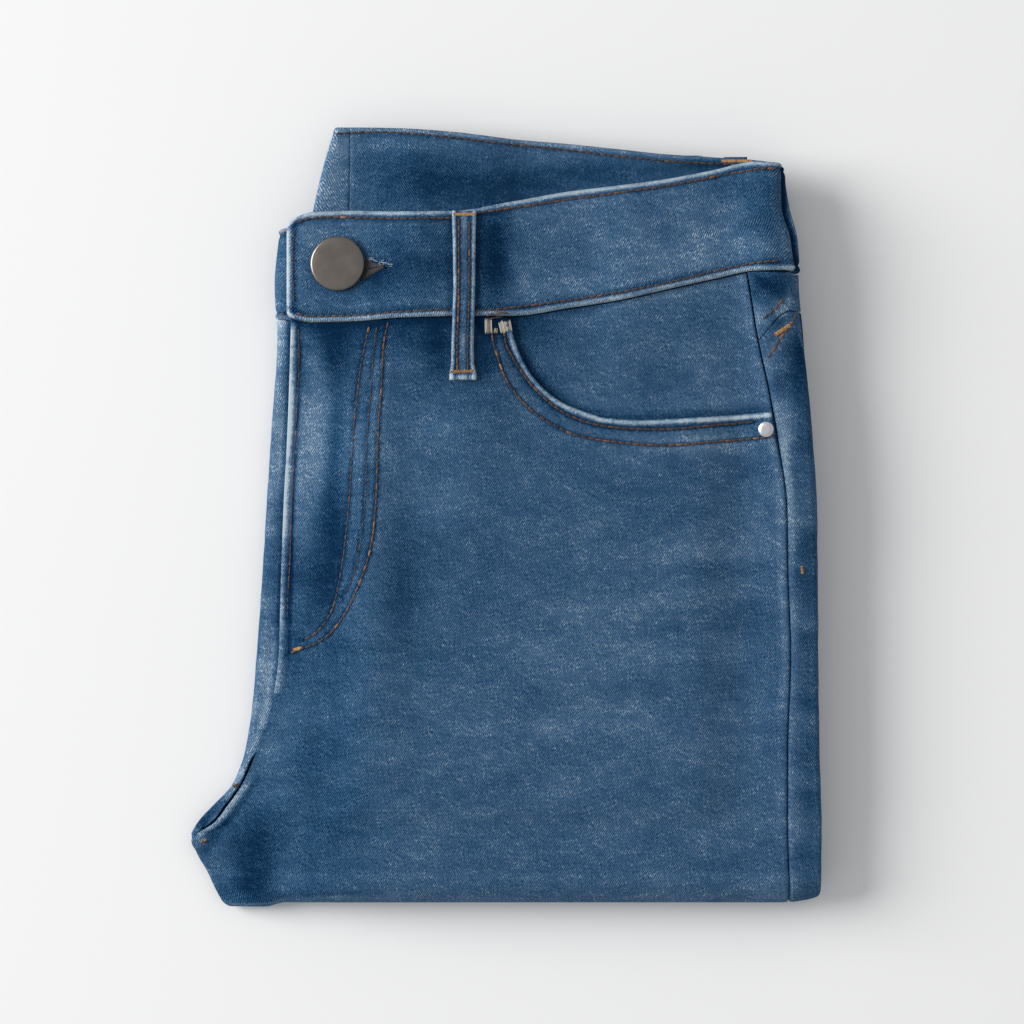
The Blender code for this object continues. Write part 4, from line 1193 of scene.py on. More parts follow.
def build_back(half):
    if half == "left":
        outer, own, inner = 0, 1, 2
        tip = lambda y: right_of_left_half(y) - WALL / 2
        seam = lambda y: side_seam(y) + GAP / 2
        inner_leg = inner_left_leg
        shift = shift_to_leg_edge
        front_drop = 0.0
        face = -1
    else:
        outer, own, inner = 3, 2, 1
        tip = lambda y: right_of_right_half(y) - WALL / 2
        seam = lambda y: side_seam(y) - RIGHT_SEAM_BACK + GAP
        inner_leg = inner_right_leg
        shift = None
        front_drop = BAND_DROP / 2
        face = 1
    own_level = number_level(own)
    nose, nose_start = turn(tip, 1, number_level(outer), own_level)
    over = stretch_of(number_level(outer), seam, nose_start)
    to_back, _ = quarter(lambda y: centre_back(y) + WALL / 2, -1, own_level, number_level(inner))
    if half == "left":
        to_front, _ = quarter(lambda y: inner_leg(y) + WALL / 2, -1, own_level, number_level(outer))
    else:
        to_front = stretch_of(own_level, lambda y: inner_leg(y) + 2.0, inner_leg)
    edge = choose_by_y(to_back, to_front, CROTCH_Y, 4.0)
    across = stretch_of(own_level, nose_start, lambda y: edge(0.0, y)[0])
    courses = ((over, shares(8)), (nose, shares(18)[1:]), (across, shares(84)[1:]), (edge, shares(4)[1:]))

    def yoke_edge(x, y, course):
        if course is over:
            seam_x = side_seam(70.0)
            return yoke_seam(0.3 * (x - seam_x) / (104.0 - seam_x))
        if course is nose:
            return yoke_seam(0.3 + 0 * x)
        return yoke_seam(0.4 + 0.6 * np.clip((110 - x) / 180, 0, 1))

    def waist_edge(x, course):
        front = front_low(x) - front_drop
        low = np.minimum(front, back_low(x))
        if course is over or course is nose:
            return low - GAP
        return mix(low, back_low(x), smooth(88.0 - x, -14, 0)) - GAP

    y_rows = steps(LOWER_BASE_Y, FOOT_Y, LOWER_GRAIN)
    parts = [top_part(course, share, lambda x, y, c: yoke_edge(x, y, c) - GAP, LOWER_BASE_Y, 18, y_rows, 4)
             for course, share in courses]
    top = np.concatenate(parts, 1)
    rows = len(top)
    folded = turned_part(top[-1], FOLD_ANGLES[1::2], [1.0, 2.0, TAIL], shift)
    grid = np.concatenate((top, folded))
    relief, wear_and_shading = back_details(grid, half)
    weave = weave_of(grid, rows, 9)
    panel = shell(f"back_{half}_cloth", grid, WALL, weave, face, relief, 0.0, wear_and_shading, -0.06)

    parts = []
    yoke_rows = 22
    for course, share in courses:
        y = np.zeros((yoke_rows, len(share))) + 80.0
        down = np.linspace(0, 1, yoke_rows)[:, None]
        for _ in range(6):
            x, z = course(share[None, :], y)
            x = x + 0 * y
            y = mix(waist_edge(x, course), yoke_edge(x, y, course), down)
        x, z = course(share[None, :], y)
        parts.append(np.stack((x + 0 * y, y, z + 0 * y), 2))
    grid = np.concatenate(parts, 1)
    relief, wear_and_shading = yoke_details(grid)
    weave = weave_of(grid, len(grid), 9)
    yoke = shell(f"yoke_{half}_cloth", grid, WALL, weave, face, relief, 0.0, wear_and_shading, -0.06)
    return panel, yoke


def back_details(grid, half):
    """Tucks, wear and painted shade down the side, where the back panel comes round to the top."""
    x, y = plan(grid)
    along = lengths_of(grid, 1)
    on_side = bell(along, 6.0, 7.0) * smooth(y, -146, -120)
    tuck = ripple(y, 1.9, 19.0) * on_side
    beside = bell(along, 1.6, 1.3)
    relief = 0.20 * tuck + 0.22 * beside * (1 + 0.5 * ripple(y, 0.7, 5.0))
    worn_side = bell(y, 6, 22) * 0.10 + bell(y, -14, 9) * -0.10 + bell(y, -30, 10) * -0.02
    wear_and_shading = 0.09 * tuck + 0.16 * beside * bell(y, 8, 32) + 0.07 * beside + on_side * worn_side
    wear_and_shading = wear_and_shading - 0.10 * smooth(along, 11, 17) * (grid[..., 2] > 0)
    beyond = x - right_of_left_half(y)
    if half == "right":
        # Painted shade where the right back shows in the gap beyond the left half's fold.
        wear_and_shading = wear_and_shading - 0.40 * bell(beyond, 0.0, 1.0) * (x > 90)
    else:
        wear_and_shading = wear_and_shading + 0.12 * bell(beyond, -1.4, 0.8) * smooth(y, 30, 60)
        wear_and_shading = wear_and_shading + wear_and_shading_at(x, y, SIDE_SPOTS) * (along < 16)
    relief = relief * smooth(grid[..., 2], 4, 9)
    return relief, wear_and_shading


def yoke_details(grid):
    """Tucks on the yoke, where it comes round the side fold."""
    x, y = plan(grid)
    along = lengths_of(grid, 1)
    tuck = ripple(y + 0.8 * x, 4.1, 9.0) * bell(along, 5.0, 6.0)
    return 0.22 * tuck, 0.10 * tuck + 0.02 + wear_and_shading_at(x, y, SIDE_SPOTS) * (along < 16)


def build_facing():
    """The facing that shows in the front pocket's opening."""
    y_rows = steps(LOWER_BASE_Y, FACING_Y, LOWER_GRAIN)
    right = lambda y: side_seam(y) - GAP / 2
    below = lambda x, y: level(0, x, y) - WALL - GAP
    course = stretch_of(below, right, lambda y: FACING_X + 0 * y)
    grid = top_part(course, shares(76), lambda x, y, c: front_low(x) - GAP, LOWER_BASE_Y, 34, y_rows, 0)
    x, y = plan(grid)
    d, _ = near(pocket_rim, x, y)
    below_band = front_low(x) - y
    outward = smooth(x, 20, 44)
    # Painted shade beside the pocket's rim and painted shadow under the waistband.
    wear_and_shading = wear_and_shading_at(x, y) * 0.9 - 0.24 * bell(d, 0, 2.6) - 0.22 * bell(below_band, 0, 3.0) * (1 - outward)
    wear_and_shading += 0.10 * bell(below_band, 2.8, 1.4) * outward + 0.10 * bell(side_seam(y) - x, 2.4, 1.5)
    wave = ripple(x + 0.4 * y, 3.9, 26.0)
    relief = 0.12 * wave * smooth(d, 3, 9) * smooth(x, -2, 12)
    wear_and_shading = wear_and_shading + 0.02 * wave
    return shell("pocket_facing_cloth", grid, WALL, weave_of(grid, len(grid)), 1, relief, 0.0, wear_and_shading, -0.05)


def band_part(course, share, edges, rows):
    """Points of one course of a waistband, from its lower to its upper edge."""
    share = share[None, :]
    up = np.linspace(0, 1, rows)[:, None]
    y = np.zeros((rows, share.shape[1])) + 100.0
    for _ in range(7):
        x, z = course(share, y)
        x = x + 0 * y
        low, top = edges(share + 0 * y, x)
        y = mix(low, top, up)
    x, z = course(share, y)
    return np.stack((x + 0 * y, y, z + 0 * y), 2)


def band_relief(height, edge_low, edge_top, x, y, seed):
    """Rolled edges worn light, and the troughs of the stitches inside them with painted shade, on a
    waistband.
    """
    from_top = edge_top - y
    from_low = y - edge_low
    relief = np.zeros(x.shape)
    wear_and_shading = np.zeros(x.shape)
    for k, d in enumerate((from_top, from_low)):
        wave = ripple(x, seed + k, 3.6)
        slow = ripple(x, seed + 2 * k, 15.0)
        rim = bell(d, (0.8, 0.55)[k], (1.2, 0.95)[k], 4)
        relief += 0.42 * bell(d, 1.0, 1.2) * (1 + 0.30 * wave) - 0.46 * bell(d, 2.9, 0.7)
        relief += 0.16 * bell(d, 4.6, 1.3) * (0.5 + wave)
        wear_and_shading += (0.45, 0.42)[k] * rim * (1 + 0.08 * wave + 0.12 * slow)
        # Painted shade in the stitches' troughs.
        wear_and_shading += -0.28 * bell(d, 2.9, 0.85) + 0.07 * bell(d, 4.8, 1.4) * (0.3 + wave)
    relief += 0.10 * ripple(x + 0.3 * y, seed * 3, 21.0) * height
    wear_and_shading += 0.03 * ripple(x + 0.5 * y, seed * 1.3, 17.0)
    return relief, wear_and_shading


def band_weave(grid, start):
    """Where each point lies in a waistband's cloth, by its length along the middle row and its height."""
    middle = len(grid) // 2
    up = lengths_of(grid, 0)
    u = start + lengths_of(grid[middle:middle + 1], 1) + 0 * up
    return np.stack((u, up, 0 * u), 2)


def inner_side(low, top, x, y):
    """Relief, wear and painted shade of the waistband's inner side where it shows behind."""
    relief, wear_and_shading = band_relief(0.6, low, top, x, y, 4.0)
    return relief * 0.6, wear_and_shading * 0.45 + wear_and_shading_at(x, y, BACK_BAND_SPOTS)


# Broad patches on the front of the waistband, in mm
BAND_SPOTS = table(
    "x y along across turn change",
    (-66, 82, 26, 8, 0, -0.09),
    (-40, 92, 16, 15, 0, -0.12),
    (-28, 100, 8, 12, 0, -0.10),
    (-6, 92, 7, 16, 0, -0.08),
    (28, 100, 20, 9, 0, 0.03),
    (66, 108, 26, 10, 0, 0.06),
    (88, 118, 12, 8, 0, 0.05),
    (20, 88, 20, 4, 0, -0.04),
    (-52, 104, 14, 4, 0, 0.03),
    (-74, 96, 4, 14, 0, 0.04),
)


def build_left_band():
    band = BAND_WALL / 2

    def left_end(y):
        return BAND_END_X + 2.2 * smooth(np.abs(y - 91.5), 14, 20) ** 2

    nose, nose_start = turn(lambda y: band_turn_left_half(y) - band, 1, number_level(0), number_level(1))
    front = stretch_of(number_level(0), left_end, nose_start)
    back = stretch_of(number_level(1), nose_start, lambda y: BAND_JOINT_X + JOINT_GAP + 0 * y)
    rows = 34
    front_count = 150
    turn_count = 16
    parts = [
        band_part(front, shares(front_count), lambda t, x: (front_low(x), front_top(x)), rows),
        band_part(nose, shares(turn_count)[1:],
                  lambda t, x: (mix(front_low(x), back_low(x), t), mix(front_top(x), back_top(x), t)), rows),
        band_part(back, shares(110)[1:], lambda t, x: (back_low(x), back_top(x)), rows),
    ]
    grid = np.concatenate(parts, 1)
    x, y = plan(grid)
    columns = np.arange(x.shape[1])[None, :] + 0 * x
    in_front = columns < front_count + turn_count / 2
    low = np.where(in_front, front_low(x), back_low(x))
    top = np.where(in_front, front_top(x), back_top(x))
    relief, wear_and_shading = band_relief(1.0, low, top, x, y, 1.0)
    from_end = x - left_end(y)
    ends = bell(from_end, 0.8, 1.3, 4) * in_front
    end_wave = ripple(y, 2.0, 4.0)
    relief += 0.3 * ends * (1 + 0.3 * end_wave) - 0.30 * bell(from_end, 3.0, 0.7) * in_front
    # The end's rim is worn light; painted shade in the trough inside it.
    wear_and_shading += 0.58 * ends * (1 + 0.08 * end_wave) - 0.28 * bell(from_end, 3.0, 0.8) * in_front
    # Painted shadow on the waistband on both sides of the belt loop.
    shadow_beside_loop = bell(np.abs(x - FRONT_LOOP[0]) - LOOP_WIDTH / 2, 0.6, 1.6) * in_front
    wear_and_shading -= 0.20 * shadow_beside_loop
    wear_and_shading += (patches(BAND_SPOTS, x, y, 2) + wear_and_shading_at(x, y, FRONT_BAND_SPOTS)) * in_front
    hole = np.hypot(x - (BUTTON_X + 7), y - BUTTON_Y)
    relief += -0.35 * bell(hole, 0, 9.0) * in_front
    # Painted shade on the band's turn at the side fold, with a lighter strip just inside it.
    from_tip = band_turn_left_half(y) - x
    wear_and_shading += in_front * (-0.55 * bell(from_tip, -0.3, 0.8) + 0.10 * bell(from_tip, 2.6, 1.2))
    inner_relief, inside_wear_and_shading = inner_side(low, top, x, y)
    weave = band_weave(grid, grid[0, 0, 0])
    made = shell("waistband_left_cloth", grid, BAND_WALL, weave, 1, relief, inner_relief, wear_and_shading,
                 np.where(in_front, -0.1, inside_wear_and_shading), (BAND_WALL / 2, JOINT_ROUND))
    cut_buttonhole(made)
    return made, weave[0, -1, 0]


def cut_buttonhole(band):
    """The keyhole that the button's stem stands in, and its slit."""
    z = float(level(0, BUTTON_X, BUTTON_Y))
    angles = 2 * math.pi * np.arange(HOLE_SIDES) / HOLE_SIDES
    outline = [(BUTTON_X + HOLE_RADIUS * math.cos(a), BUTTON_Y + HOLE_RADIUS * math.sin(a)) for a in angles]
    slit = [(BUTTON_X + 2.0, BUTTON_Y - 0.55), (-43.9, BUTTON_Y - 2.0), (-43.6, BUTTON_Y - 1.5),
            (BUTTON_X + 2.0, BUTTON_Y + 0.75)]
    for name, points in (("stem_hole", outline), ("slit_hole", slit)):
        count = len(points)
        solid = [(x, y, z - 6) for x, y in points] + [(x, y, z + 6) for x, y in points]
        faces = [tuple(range(count))[::-1], tuple(range(count, 2 * count))]
        faces += [(k, (k + 1) % count, count + (k + 1) % count, count + k) for k in range(count)]
        tool = make_mesh(name, np.array(solid), faces, False)
        hole = band.modifiers.new(name, "BOOLEAN")
        hole.operation = "DIFFERENCE"
        hole.solver = "EXACT"
        hole.object = tool
        with bpy.context.temp_override(object=band, active_object=band):
            bpy.ops.object.modifier_apply(modifier=name)
        bpy.data.objects.remove(tool)


def build_right_band(weave_start):
    band = BAND_WALL / 2
    left_back, right_back, right_front = (number_level(k) for k in (1, 2, 3))
    back_nose, back_start = turn(lambda y: band_centre_back(y) + band, -1, left_back, right_back)
    right_nose, right_start = turn(lambda y: band_turn_right_half(y) - band, 1, right_back, right_front)
    front_nose, front_start = turn(lambda y: left_edge(y) + band, -1, right_front, underlap_level)
    first = stretch_of(left_back, lambda y: BAND_JOINT_X - JOINT_GAP + 0 * y, back_start)
    second = stretch_of(right_back, back_start, right_start)
    third = stretch_of(right_front, right_start, front_start)
    last = stretch_of(underlap_level, front_start, lambda y: BAND_UNDERLAP_X + 0 * y)

    def back_edges(t, x):
        return back_low(x), back_top(x)

    def front_edges(t, x):
        return front_low(x) - BAND_DROP / 2, front_top(x) - BAND_DROP

    def turning_edges(t, x):
        low, top = front_edges(t, x)
        return mix(back_low(x), low, t), mix(back_top(x), top, t)

    rows = 26
    courses = (
        (first, 8, back_edges),
        (back_nose, 14, back_edges),
        (second, 90, back_edges),
        (right_nose, 12, turning_edges),
        (third, 90, front_edges),
        (front_nose, 14, front_edges),
        (last, 16, front_edges),
    )
    parts = [band_part(course, shares(count)[min(k, 1):], edges, rows)
             for k, (course, count, edges) in enumerate(courses)]
    grid = np.concatenate(parts, 1)
    x, y = plan(grid)
    columns = np.arange(x.shape[1])[None, :] + 0 * x
    back_side = columns < 8 + 14 + 90 + 8
    low = np.where(back_side, back_low(x), front_low(x) - BAND_DROP / 2)
    top = np.where(back_side, back_top(x), front_top(x) - BAND_DROP)
    relief, wear_and_shading = band_relief(1.0, low, top, x, y, 6.0)
    wear_and_shading = wear_and_shading * 0.8 - 0.02
    # Painted shade in the gap just beyond the left half's turn, and a lighter strip beyond it.
    beyond = x - band_turn_left_half(y)
    wear_and_shading += (x > 90) * (-0.70 * bell(beyond, 0.1, 1.1) + 0.26 * bell(beyond, 2.3, 0.9))
    wear_and_shading += 0.20 * bell(x, -85.5, 2.5) * bell(y, 78, 8)
    inner_relief, inside_wear_and_shading = inner_side(low, top, x, y)
    at_back = columns < 8 + 14
    inner_relief = np.where(at_back, inner_relief, 0.5 * relief)
    inside_wear_and_shading = np.where(at_back, inside_wear_and_shading, 0.5 * wear_and_shading - 0.05)
    return shell("waistband_right_cloth", grid, BAND_WALL, band_weave(grid, weave_start), 1, relief,
                 inner_relief, wear_and_shading, inside_wear_and_shading, (JOINT_ROUND, BAND_WALL / 2))


LOOP_FORM = table(
    "up width bend",
    (-4, 10.3, -0.3),
    (2.5, 9.9, -0.3),
    (6, 8.5, -0.4),
    (12, 8.2, -0.45),
    (34, 8.0, 0.2),
    (52, 8.4, 0.15),
    (60, 8.9, 0.1),
    (70, 9.0, 0.1),
)


def loop_width(up):
    return np.interp(up, LOOP_FORM["up"], LOOP_FORM["width"])


def loop_bend(up):
    return np.interp(up, LOOP_FORM["up"], LOOP_FORM["bend"])


def loop_grid(place, number, way, shift):
    middle, low, top = place
    across = np.linspace(-0.5, 0.5, 25)[None, :]
    y = np.linspace(low, top, 84)[:, None] + 0 * across
    x = middle + loop_bend(y - low) + loop_width(y - low) * across
    band_edge = (front_low if number in (0, 3) else back_low)(x) + shift
    below_band = WALL / 2 + (BAND_WALL - WALL) / 2 * smooth(y - band_edge, -10, -4)
    return np.stack((x, y, level(number, x, y) + way * (below_band + GAP + LOOP_WALL / 2)), 2)


def build_loops():
    made = []
    for name, place, number, way, shift in (
        ("belt_loop_front_left", FRONT_LOOP, 0, 1, 0.0),
        ("belt_loop_front_right", (*FRONT_LOOP[:2], FRONT_LOOP[2] - BAND_DROP), 3, -1, -BAND_DROP / 2),
        ("belt_loop_back_left", BACK_LEFT_LOOP, 1, -1, 0.0),
        ("belt_loop_back_right", BACK_RIGHT_LOOP, 2, 1, 0.0),
    ):
        grid = loop_grid(place, number, way, shift)
        y = grid[..., 1]
        across = (np.linspace(-0.5, 0.5, grid.shape[1]) * LOOP_WIDTH)[None, :] + 0 * y
        relief = np.zeros(y.shape)
        wear_and_shading = np.zeros(y.shape) - 0.02
        for k, side in enumerate((-1, 1)):
            wave = ripple(y, 2.0 + 3 * k + len(name), 3.4)
            relief += 0.30 * bell(side * across, 3.7, 0.9) - 0.30 * bell(side * across, 2.15, 0.6)
            relief += 0.08 * bell(side * across, 0.9, 0.7) * wave
            wear_and_shading += 0.40 * bell(side * across, 4.0, 0.8, 4) * (1 + 0.15 * wave)
            # Painted shade in the stitches' troughs.
            wear_and_shading -= 0.20 * bell(side * across, 2.15, 0.8)
        wear_and_shading += 0.10 * bell(across, 0, 1.0) * (0.5 + ripple(y, 2.2, 19.0)) + 0.07 * ripple(y, 1.2, 11.0)
        wear_and_shading += 0.24 * bell(across, 0, 1.5) * (bell(y - place[1], 13.2, 4.5) + bell(place[2] - y, 5.5, 4.0))
        near_end = np.minimum(y - place[1], place[2] - y)
        wear_and_shading += 0.16 * bell(near_end, 0.8, 0.9)
        lower_end = 1 - smooth(y - place[1], 1.7, 2.3)
        cord = np.cos(2 * math.pi * across / 1.1)
        wear_and_shading += lower_end * (0.30 + 0.10 * cord)
        relief += lower_end * 0.14 * cord
        weave = np.stack((across, y, 0 * y), 2)
        made.append((name, shell(name + "_cloth", grid, LOOP_WALL, weave, way, relief, 0.0, wear_and_shading, -0.05)))
    return made


def build_core():
    """The folded legs: the same rounded solid, with the edges of its layers."""
    u = shares(95)[None, :]
    v = shares(89)[:, None]
    w = shares(72)[:, None]
    lip_x = UNDER_SEAM_X + GAP

    def point(u, v, w):
        ridge_shape = 1.0 - np.abs(np.cos(math.pi * LEG_RIDGES * w))
        y = mix(-130.0, KNEE_FOLD_Y - 6, v) + 0 * u
        for _ in range(5):
            left = np.maximum(leg_edge(y) + 13.0, -92.0)
            reach = right_of_right_half(y) - 2.6 + 1.6 * (ridge_shape - 1)
            inner = mix(left, lip_x, np.clip(u / LIP_SHARE, 0, 1))
            lip = mix(lip_x + GAP, reach, np.clip((u - 0.95) / 0.05, 0, 1))
            x = np.where(u > LIP_SHARE, lip, inner)
            y = mix(turn_y(x) + TAIL + 2 * GAP, KNEE_FOLD_Y - knee_height(x) / 2, v)
        on_lip = u > LIP_SHARE + 0.005
        bottom = np.where(on_lip, 0.0, STEP)
        tail_room = np.where(on_lip, 0.0, STEP * smooth(y, KNEE_FOLD_Y - 52, KNEE_FOLD_Y - 24))
        top = pile_top(x, y) - tail_room - CORE_CLEARANCE
        knee_depth = np.where(on_lip, 0.0, STEP + CORE_CLEARANCE)
        _, ky, kz = knee_turn(x, knee_depth, math.pi * w)
        at_knee = v >= 1.0
        return np.stack((x, np.where(at_knee, ky, y), np.where(at_knee, kz, mix(bottom, top, w))), -1)

    sides = []

    for place, flip in (
        ((u, v, 1.0), False),
        ((u, v, 0.0), True),
        ((u, 0.0, w), False),
        ((u, 1.0, w), True),
        ((0.0, v.T, w), True),
        ((1.0, v.T, w), False),
    ):
        sides.append((point(*np.broadcast_arrays(*place)), flip))
    points = []
    faces = []
    start = 0
    for grid, flip in sides:
        r, c = grid.shape[:2]
        faces.append(quads(start + np.arange(r * c).reshape(r, c), flip))
        points.append(grid.reshape(-1, 3))
        start += r * c
    made = make_mesh("folded_legs_cloth", np.concatenate(points), np.concatenate(faces))
    bm = bmesh.new()
    bm.from_mesh(made.data)
    bmesh.ops.remove_doubles(bm, verts=bm.verts, dist=0.00002)
    bmesh.ops.recalc_face_normals(bm, faces=bm.faces)
    bm.to_mesh(made.data)
    bm.free()
    co = np.array([v.co for v in made.data.vertices]) / MM
    add_values(made, "weave", "FLOAT_VECTOR", np.stack((co[:, 0] + co[:, 2], co[:, 1], 0 * co[:, 0]), 1))
    layer = np.abs(np.cos(math.pi * LEG_RIDGES * np.clip(co[:, 2] / 13.6, 0, 1)))
    # Painted shade between the layers' edges on the side.
    add_values(made, "wear_and_shading", "FLOAT", 0.05 - 0.25 * layer * (co[:, 0] > 106))
    return made


# Thread, button and rivet

chance = np.random.default_rng(11)


def on_front(x, y):
    return level(0, x, y) + mix(WALL, BAND_WALL, smooth(y - front_low(x), -2.0, 0.0)) / 2


def threads(name, runs, height, sides=6, rings=7):
    """Short threads from one point to another, bowed up between their ends.

    Each run is x, y, x, y, radius, lift and tone, in mm.
    """
    runs = np.asarray(runs, float)
    a = runs[:, 0:2]
    b = runs[:, 2:4]
    radius, lift, tone = runs[:, 4:].T
    way = b - a
    way /= np.maximum(np.linalg.norm(way, axis=1, keepdims=True), 1e-9)
    normal = np.stack((-way[:, 1], way[:, 0]), 1)
    t = np.linspace(-1, 1, rings)
    round_end = np.sqrt(np.maximum(1 - np.abs(t) ** 5, 0.02))
    angles = 2 * math.pi * np.arange(sides) / sides
    middle = (a[:, None, :] * (1 - t)[None, :, None] + b[:, None, :] * (1 + t)[None, :, None]) / 2
    z = height(middle[..., 0], middle[..., 1]) + lift[:, None] - 0.55 * radius[:, None] * t[None, :] ** 4 * 2
    r = radius[:, None] * round_end[None, :]
    x = middle[..., 0][..., None] + normal[:, 0][:, None, None] * r[..., None] * np.cos(angles)
    y = middle[..., 1][..., None] + normal[:, 1][:, None, None] * r[..., None] * np.cos(angles)
    height_of = z[..., None] + 0.8 * r[..., None] * np.sin(angles)
    points = np.stack((x, y, height_of), -1).reshape(-1, 3)
    per = rings * sides
    index = np.arange(per).reshape(rings, sides)
    nxt = np.roll(index, -1, axis=1)
    quads = np.stack((index[:-1].ravel(), index[1:].ravel(), nxt[1:].ravel(), nxt[:-1].ravel()), 1)
    faces = (quads[None] + (np.arange(len(runs)) * per)[:, None, None]).reshape(-1, 4).tolist()
    for k in range(len(runs)):
        faces.append([k * per + j for j in range(sides)])
        faces.append([k * per + (rings - 1) * sides + j for j in reversed(range(sides))])
    made = make_mesh(name, points, faces)
    add_values(made, "tone", "FLOAT", np.repeat(tone, per))
    return made


def row_of(path, length=2.85, gap=-0.12, radius=0.38, lift=0.16, tone=0.4, spread=0.13):
    """A row of stitches along a line."""
    path = even_path(path, 0.2)
    lengths = run_of(path)
    runs = []
    at = 0.3
    while at + length < lengths[-1]:
        real = length * (1 + 0.10 * chance.uniform(-1, 1))
        ends = []
        for place in (at, at + real):
            x = np.interp(place, lengths, path[:, 0]) + 0.06 * chance.uniform(-1, 1)
            y = np.interp(place, lengths, path[:, 1]) + 0.06 * chance.uniform(-1, 1)
            ends += [x, y]
        runs.append((*ends, radius * (1 + 0.1 * chance.uniform(-1, 1)), lift,
                     np.clip(tone + spread * chance.normal(), 0, 1)))
        at += real + gap * (1 + 0.3 * chance.uniform(-1, 1))
    return runs


def tack(start, end, width, count, radius=0.24, lift=0.25, tone=0.8, spread=0.12):
    """A bar tack: threads laid close together across a short line."""
    start = np.asarray(start, float)
    end = np.asarray(end, float)
    way = (end - start) / np.linalg.norm(end - start)
    normal = np.array((-way[1], way[0]))
    runs = []
    for k in range(count):
        middle = start + (end - start) * (k + 0.5) / count
        half = width / 2 * (1 + 0.12 * chance.uniform(-1, 1))
        lean = way * 0.18 * chance.uniform(-1, 1)
        a = middle - normal * half - lean
        b = middle + normal * half + lean
        runs.append((*a, *b, radius, lift, np.clip(tone + spread * chance.normal(), 0, 1)))
    return runs


def build_threads():
    """Every row of stitches, bar tack and loose thread that shows, by name."""
    made = {}

    def lay(name, rows, height, *shape):
        made[name] = threads(name, rows, height, *shape)

    def bar(start, end, *size, **look):
        return tack(*seen(start, end), *size, **look)

    rows = row_of(FLY_BESIDE_EDGE, tone=0.35, radius=0.24)
    rows += row_of(FLY_LEFT, tone=0.30)
    rows += row_of(FLY_MIDDLE, tone=0.22, radius=0.22)
    rows += row_of(FLY_RIGHT, tone=0.45)
    rows += row_of(POCKET_INNER, tone=0.30)
    rows += row_of(POCKET_OUTER, tone=0.42)
    rows += bar((292.6, 650.4), (301.5, 648.0), 1.5, 12, tone=0.85)
    rows += bar((231.5, 788.6), (237, 785.4), 1.2, 8, radius=0.16, tone=0.45)
    rows += row_of(CROTCH_STITCH, tone=0.7, length=1.6)
    lay("seam_threads", rows, on_front)

    rows = row_of(BAND_TOP, tone=0.35) + row_of(BAND_BOTTOM, tone=0.30)
    rows += row_of(BAND_LEFT, tone=0.2, radius=0.26)
    lay("band_threads", rows, on_front)
    rows = row_of(BACK_BAND, tone=0.25)
    rows += bar((722, 160.6), (752, 160.9), 1.3, 36, radius=0.22, tone=0.95)
    lay("back_band_threads", rows, lambda x, y: level(1, x, y) + BAND_WALL / 2)
    rows = row_of(SLIVER_TOP, tone=0.75, length=2.0) + row_of(SLIVER_BOTTOM, tone=0.6, length=1.6)
    lay("underlap_threads", rows, lambda x, y: underlap_level(x, y) + BAND_WALL / 2)

    middle, low, top = FRONT_LOOP

    def on_loop(x, y):
        below = WALL / 2 + (BAND_WALL - WALL) / 2 * smooth(y - front_low(x), -10, -4)
        return level(0, x, y) + below + GAP + LOOP_WALL

    rows = []
    ups = (3.0, 12.0, 30.0, 46.0, 60.6)
    for side, tone in ((-1, 0.40), (1, 0.22)):
        ends = [(middle + side * 1.95 + float(loop_bend(up)), low + up) for up in ups]
        rows += row_of(ends, tone=tone, length=2.7)
    rows += tack((middle - 4.9, low + 3.0), (middle + 3.6, low + 3.3), 1.3, 28, radius=0.20, tone=0.72)
    rows += tack((middle - 3.9, top - 1.4), (middle + 3.9, top - 1.4), 1.3, 26, radius=0.20, tone=0.9)
    lay("loop_threads", rows, on_loop)

    rows = bar((485, 326.5), (492, 326.5), 5.6, 7, lift=0.50, tone=0.45, spread=0.25)
    rows += bar((499.5, 328), (511.5, 326), 4.6, 10, lift=0.50, tone=0.5, spread=0.25)
    rows += bar((494, 331), (498, 331), 2.2, 3, radius=0.22, lift=0.45, tone=0.3, spread=0.2)
    lay("corner_tack", rows, on_front)
    corner_edge = seen((486, 317), (492, 314.5), (502, 313), (509.5, 314.5), (512, 320))
    rows = row_of(corner_edge, tone=0.5, radius=0.3, lift=0.6)
    rows += row_of(seen((488, 320), (498, 317.5), (508, 318)), tone=0.15, radius=0.3, lift=0.5)
    rows += row_of(seen((495.5, 321), (495.8, 328)), tone=0.1, radius=0.3, lift=0.4)
    lay("corner_edge_threads", rows, on_front)

    rows = row_of(YOKE_STITCH_UPPER, tone=0.3)
    rows += row_of(YOKE_STITCH_LOWER, tone=0.4)
    rows += bar((774.4, 335.4), (789.4, 325.6), 1.7, 20, tone=0.95)
    rows += bar((801.5, 566), (802.5, 574), 1.2, 8, radius=0.2, tone=0.8)
    lay("side_threads", rows, on_front)

    rows = []
    pairs = 54
    for share in np.arange(pairs) / (pairs - 1):
        x = mix(-53.4, -45.6, share)
        half = mix(3.9, 0.6, share**1.1)
        y = BUTTON_Y - 2.2 + 1.1 * share
        for side in (-1, 1):
            start = (x + 0.2 * chance.uniform(-1, 1), y - side * 0.2)
            end = (x + 0.5 + 0.3 * chance.uniform(-1, 1), y + side * half)
            rows.append((*start, *end, 0.22, 0.16, -0.14 + 0.07 * chance.normal()))
    lay("buttonhole_threads", rows, on_front)
    rows = []
    for _ in range(26):
        x = mix(-51.5, -42.6, chance.uniform())
        y = BUTTON_Y + 1.9 - 0.30 * (x + 51.5) + 0.35 * chance.normal()
        angle = math.radians(-18 + 26 * chance.normal())
        reach = 0.7 + 1.0 * chance.uniform()
        rows.append((x, y, x + reach * math.cos(angle), y + reach * math.sin(angle), 0.11, 0.22, 0.25))
    lay("buttonhole_fray", rows, on_front, 5, 5)
    return made


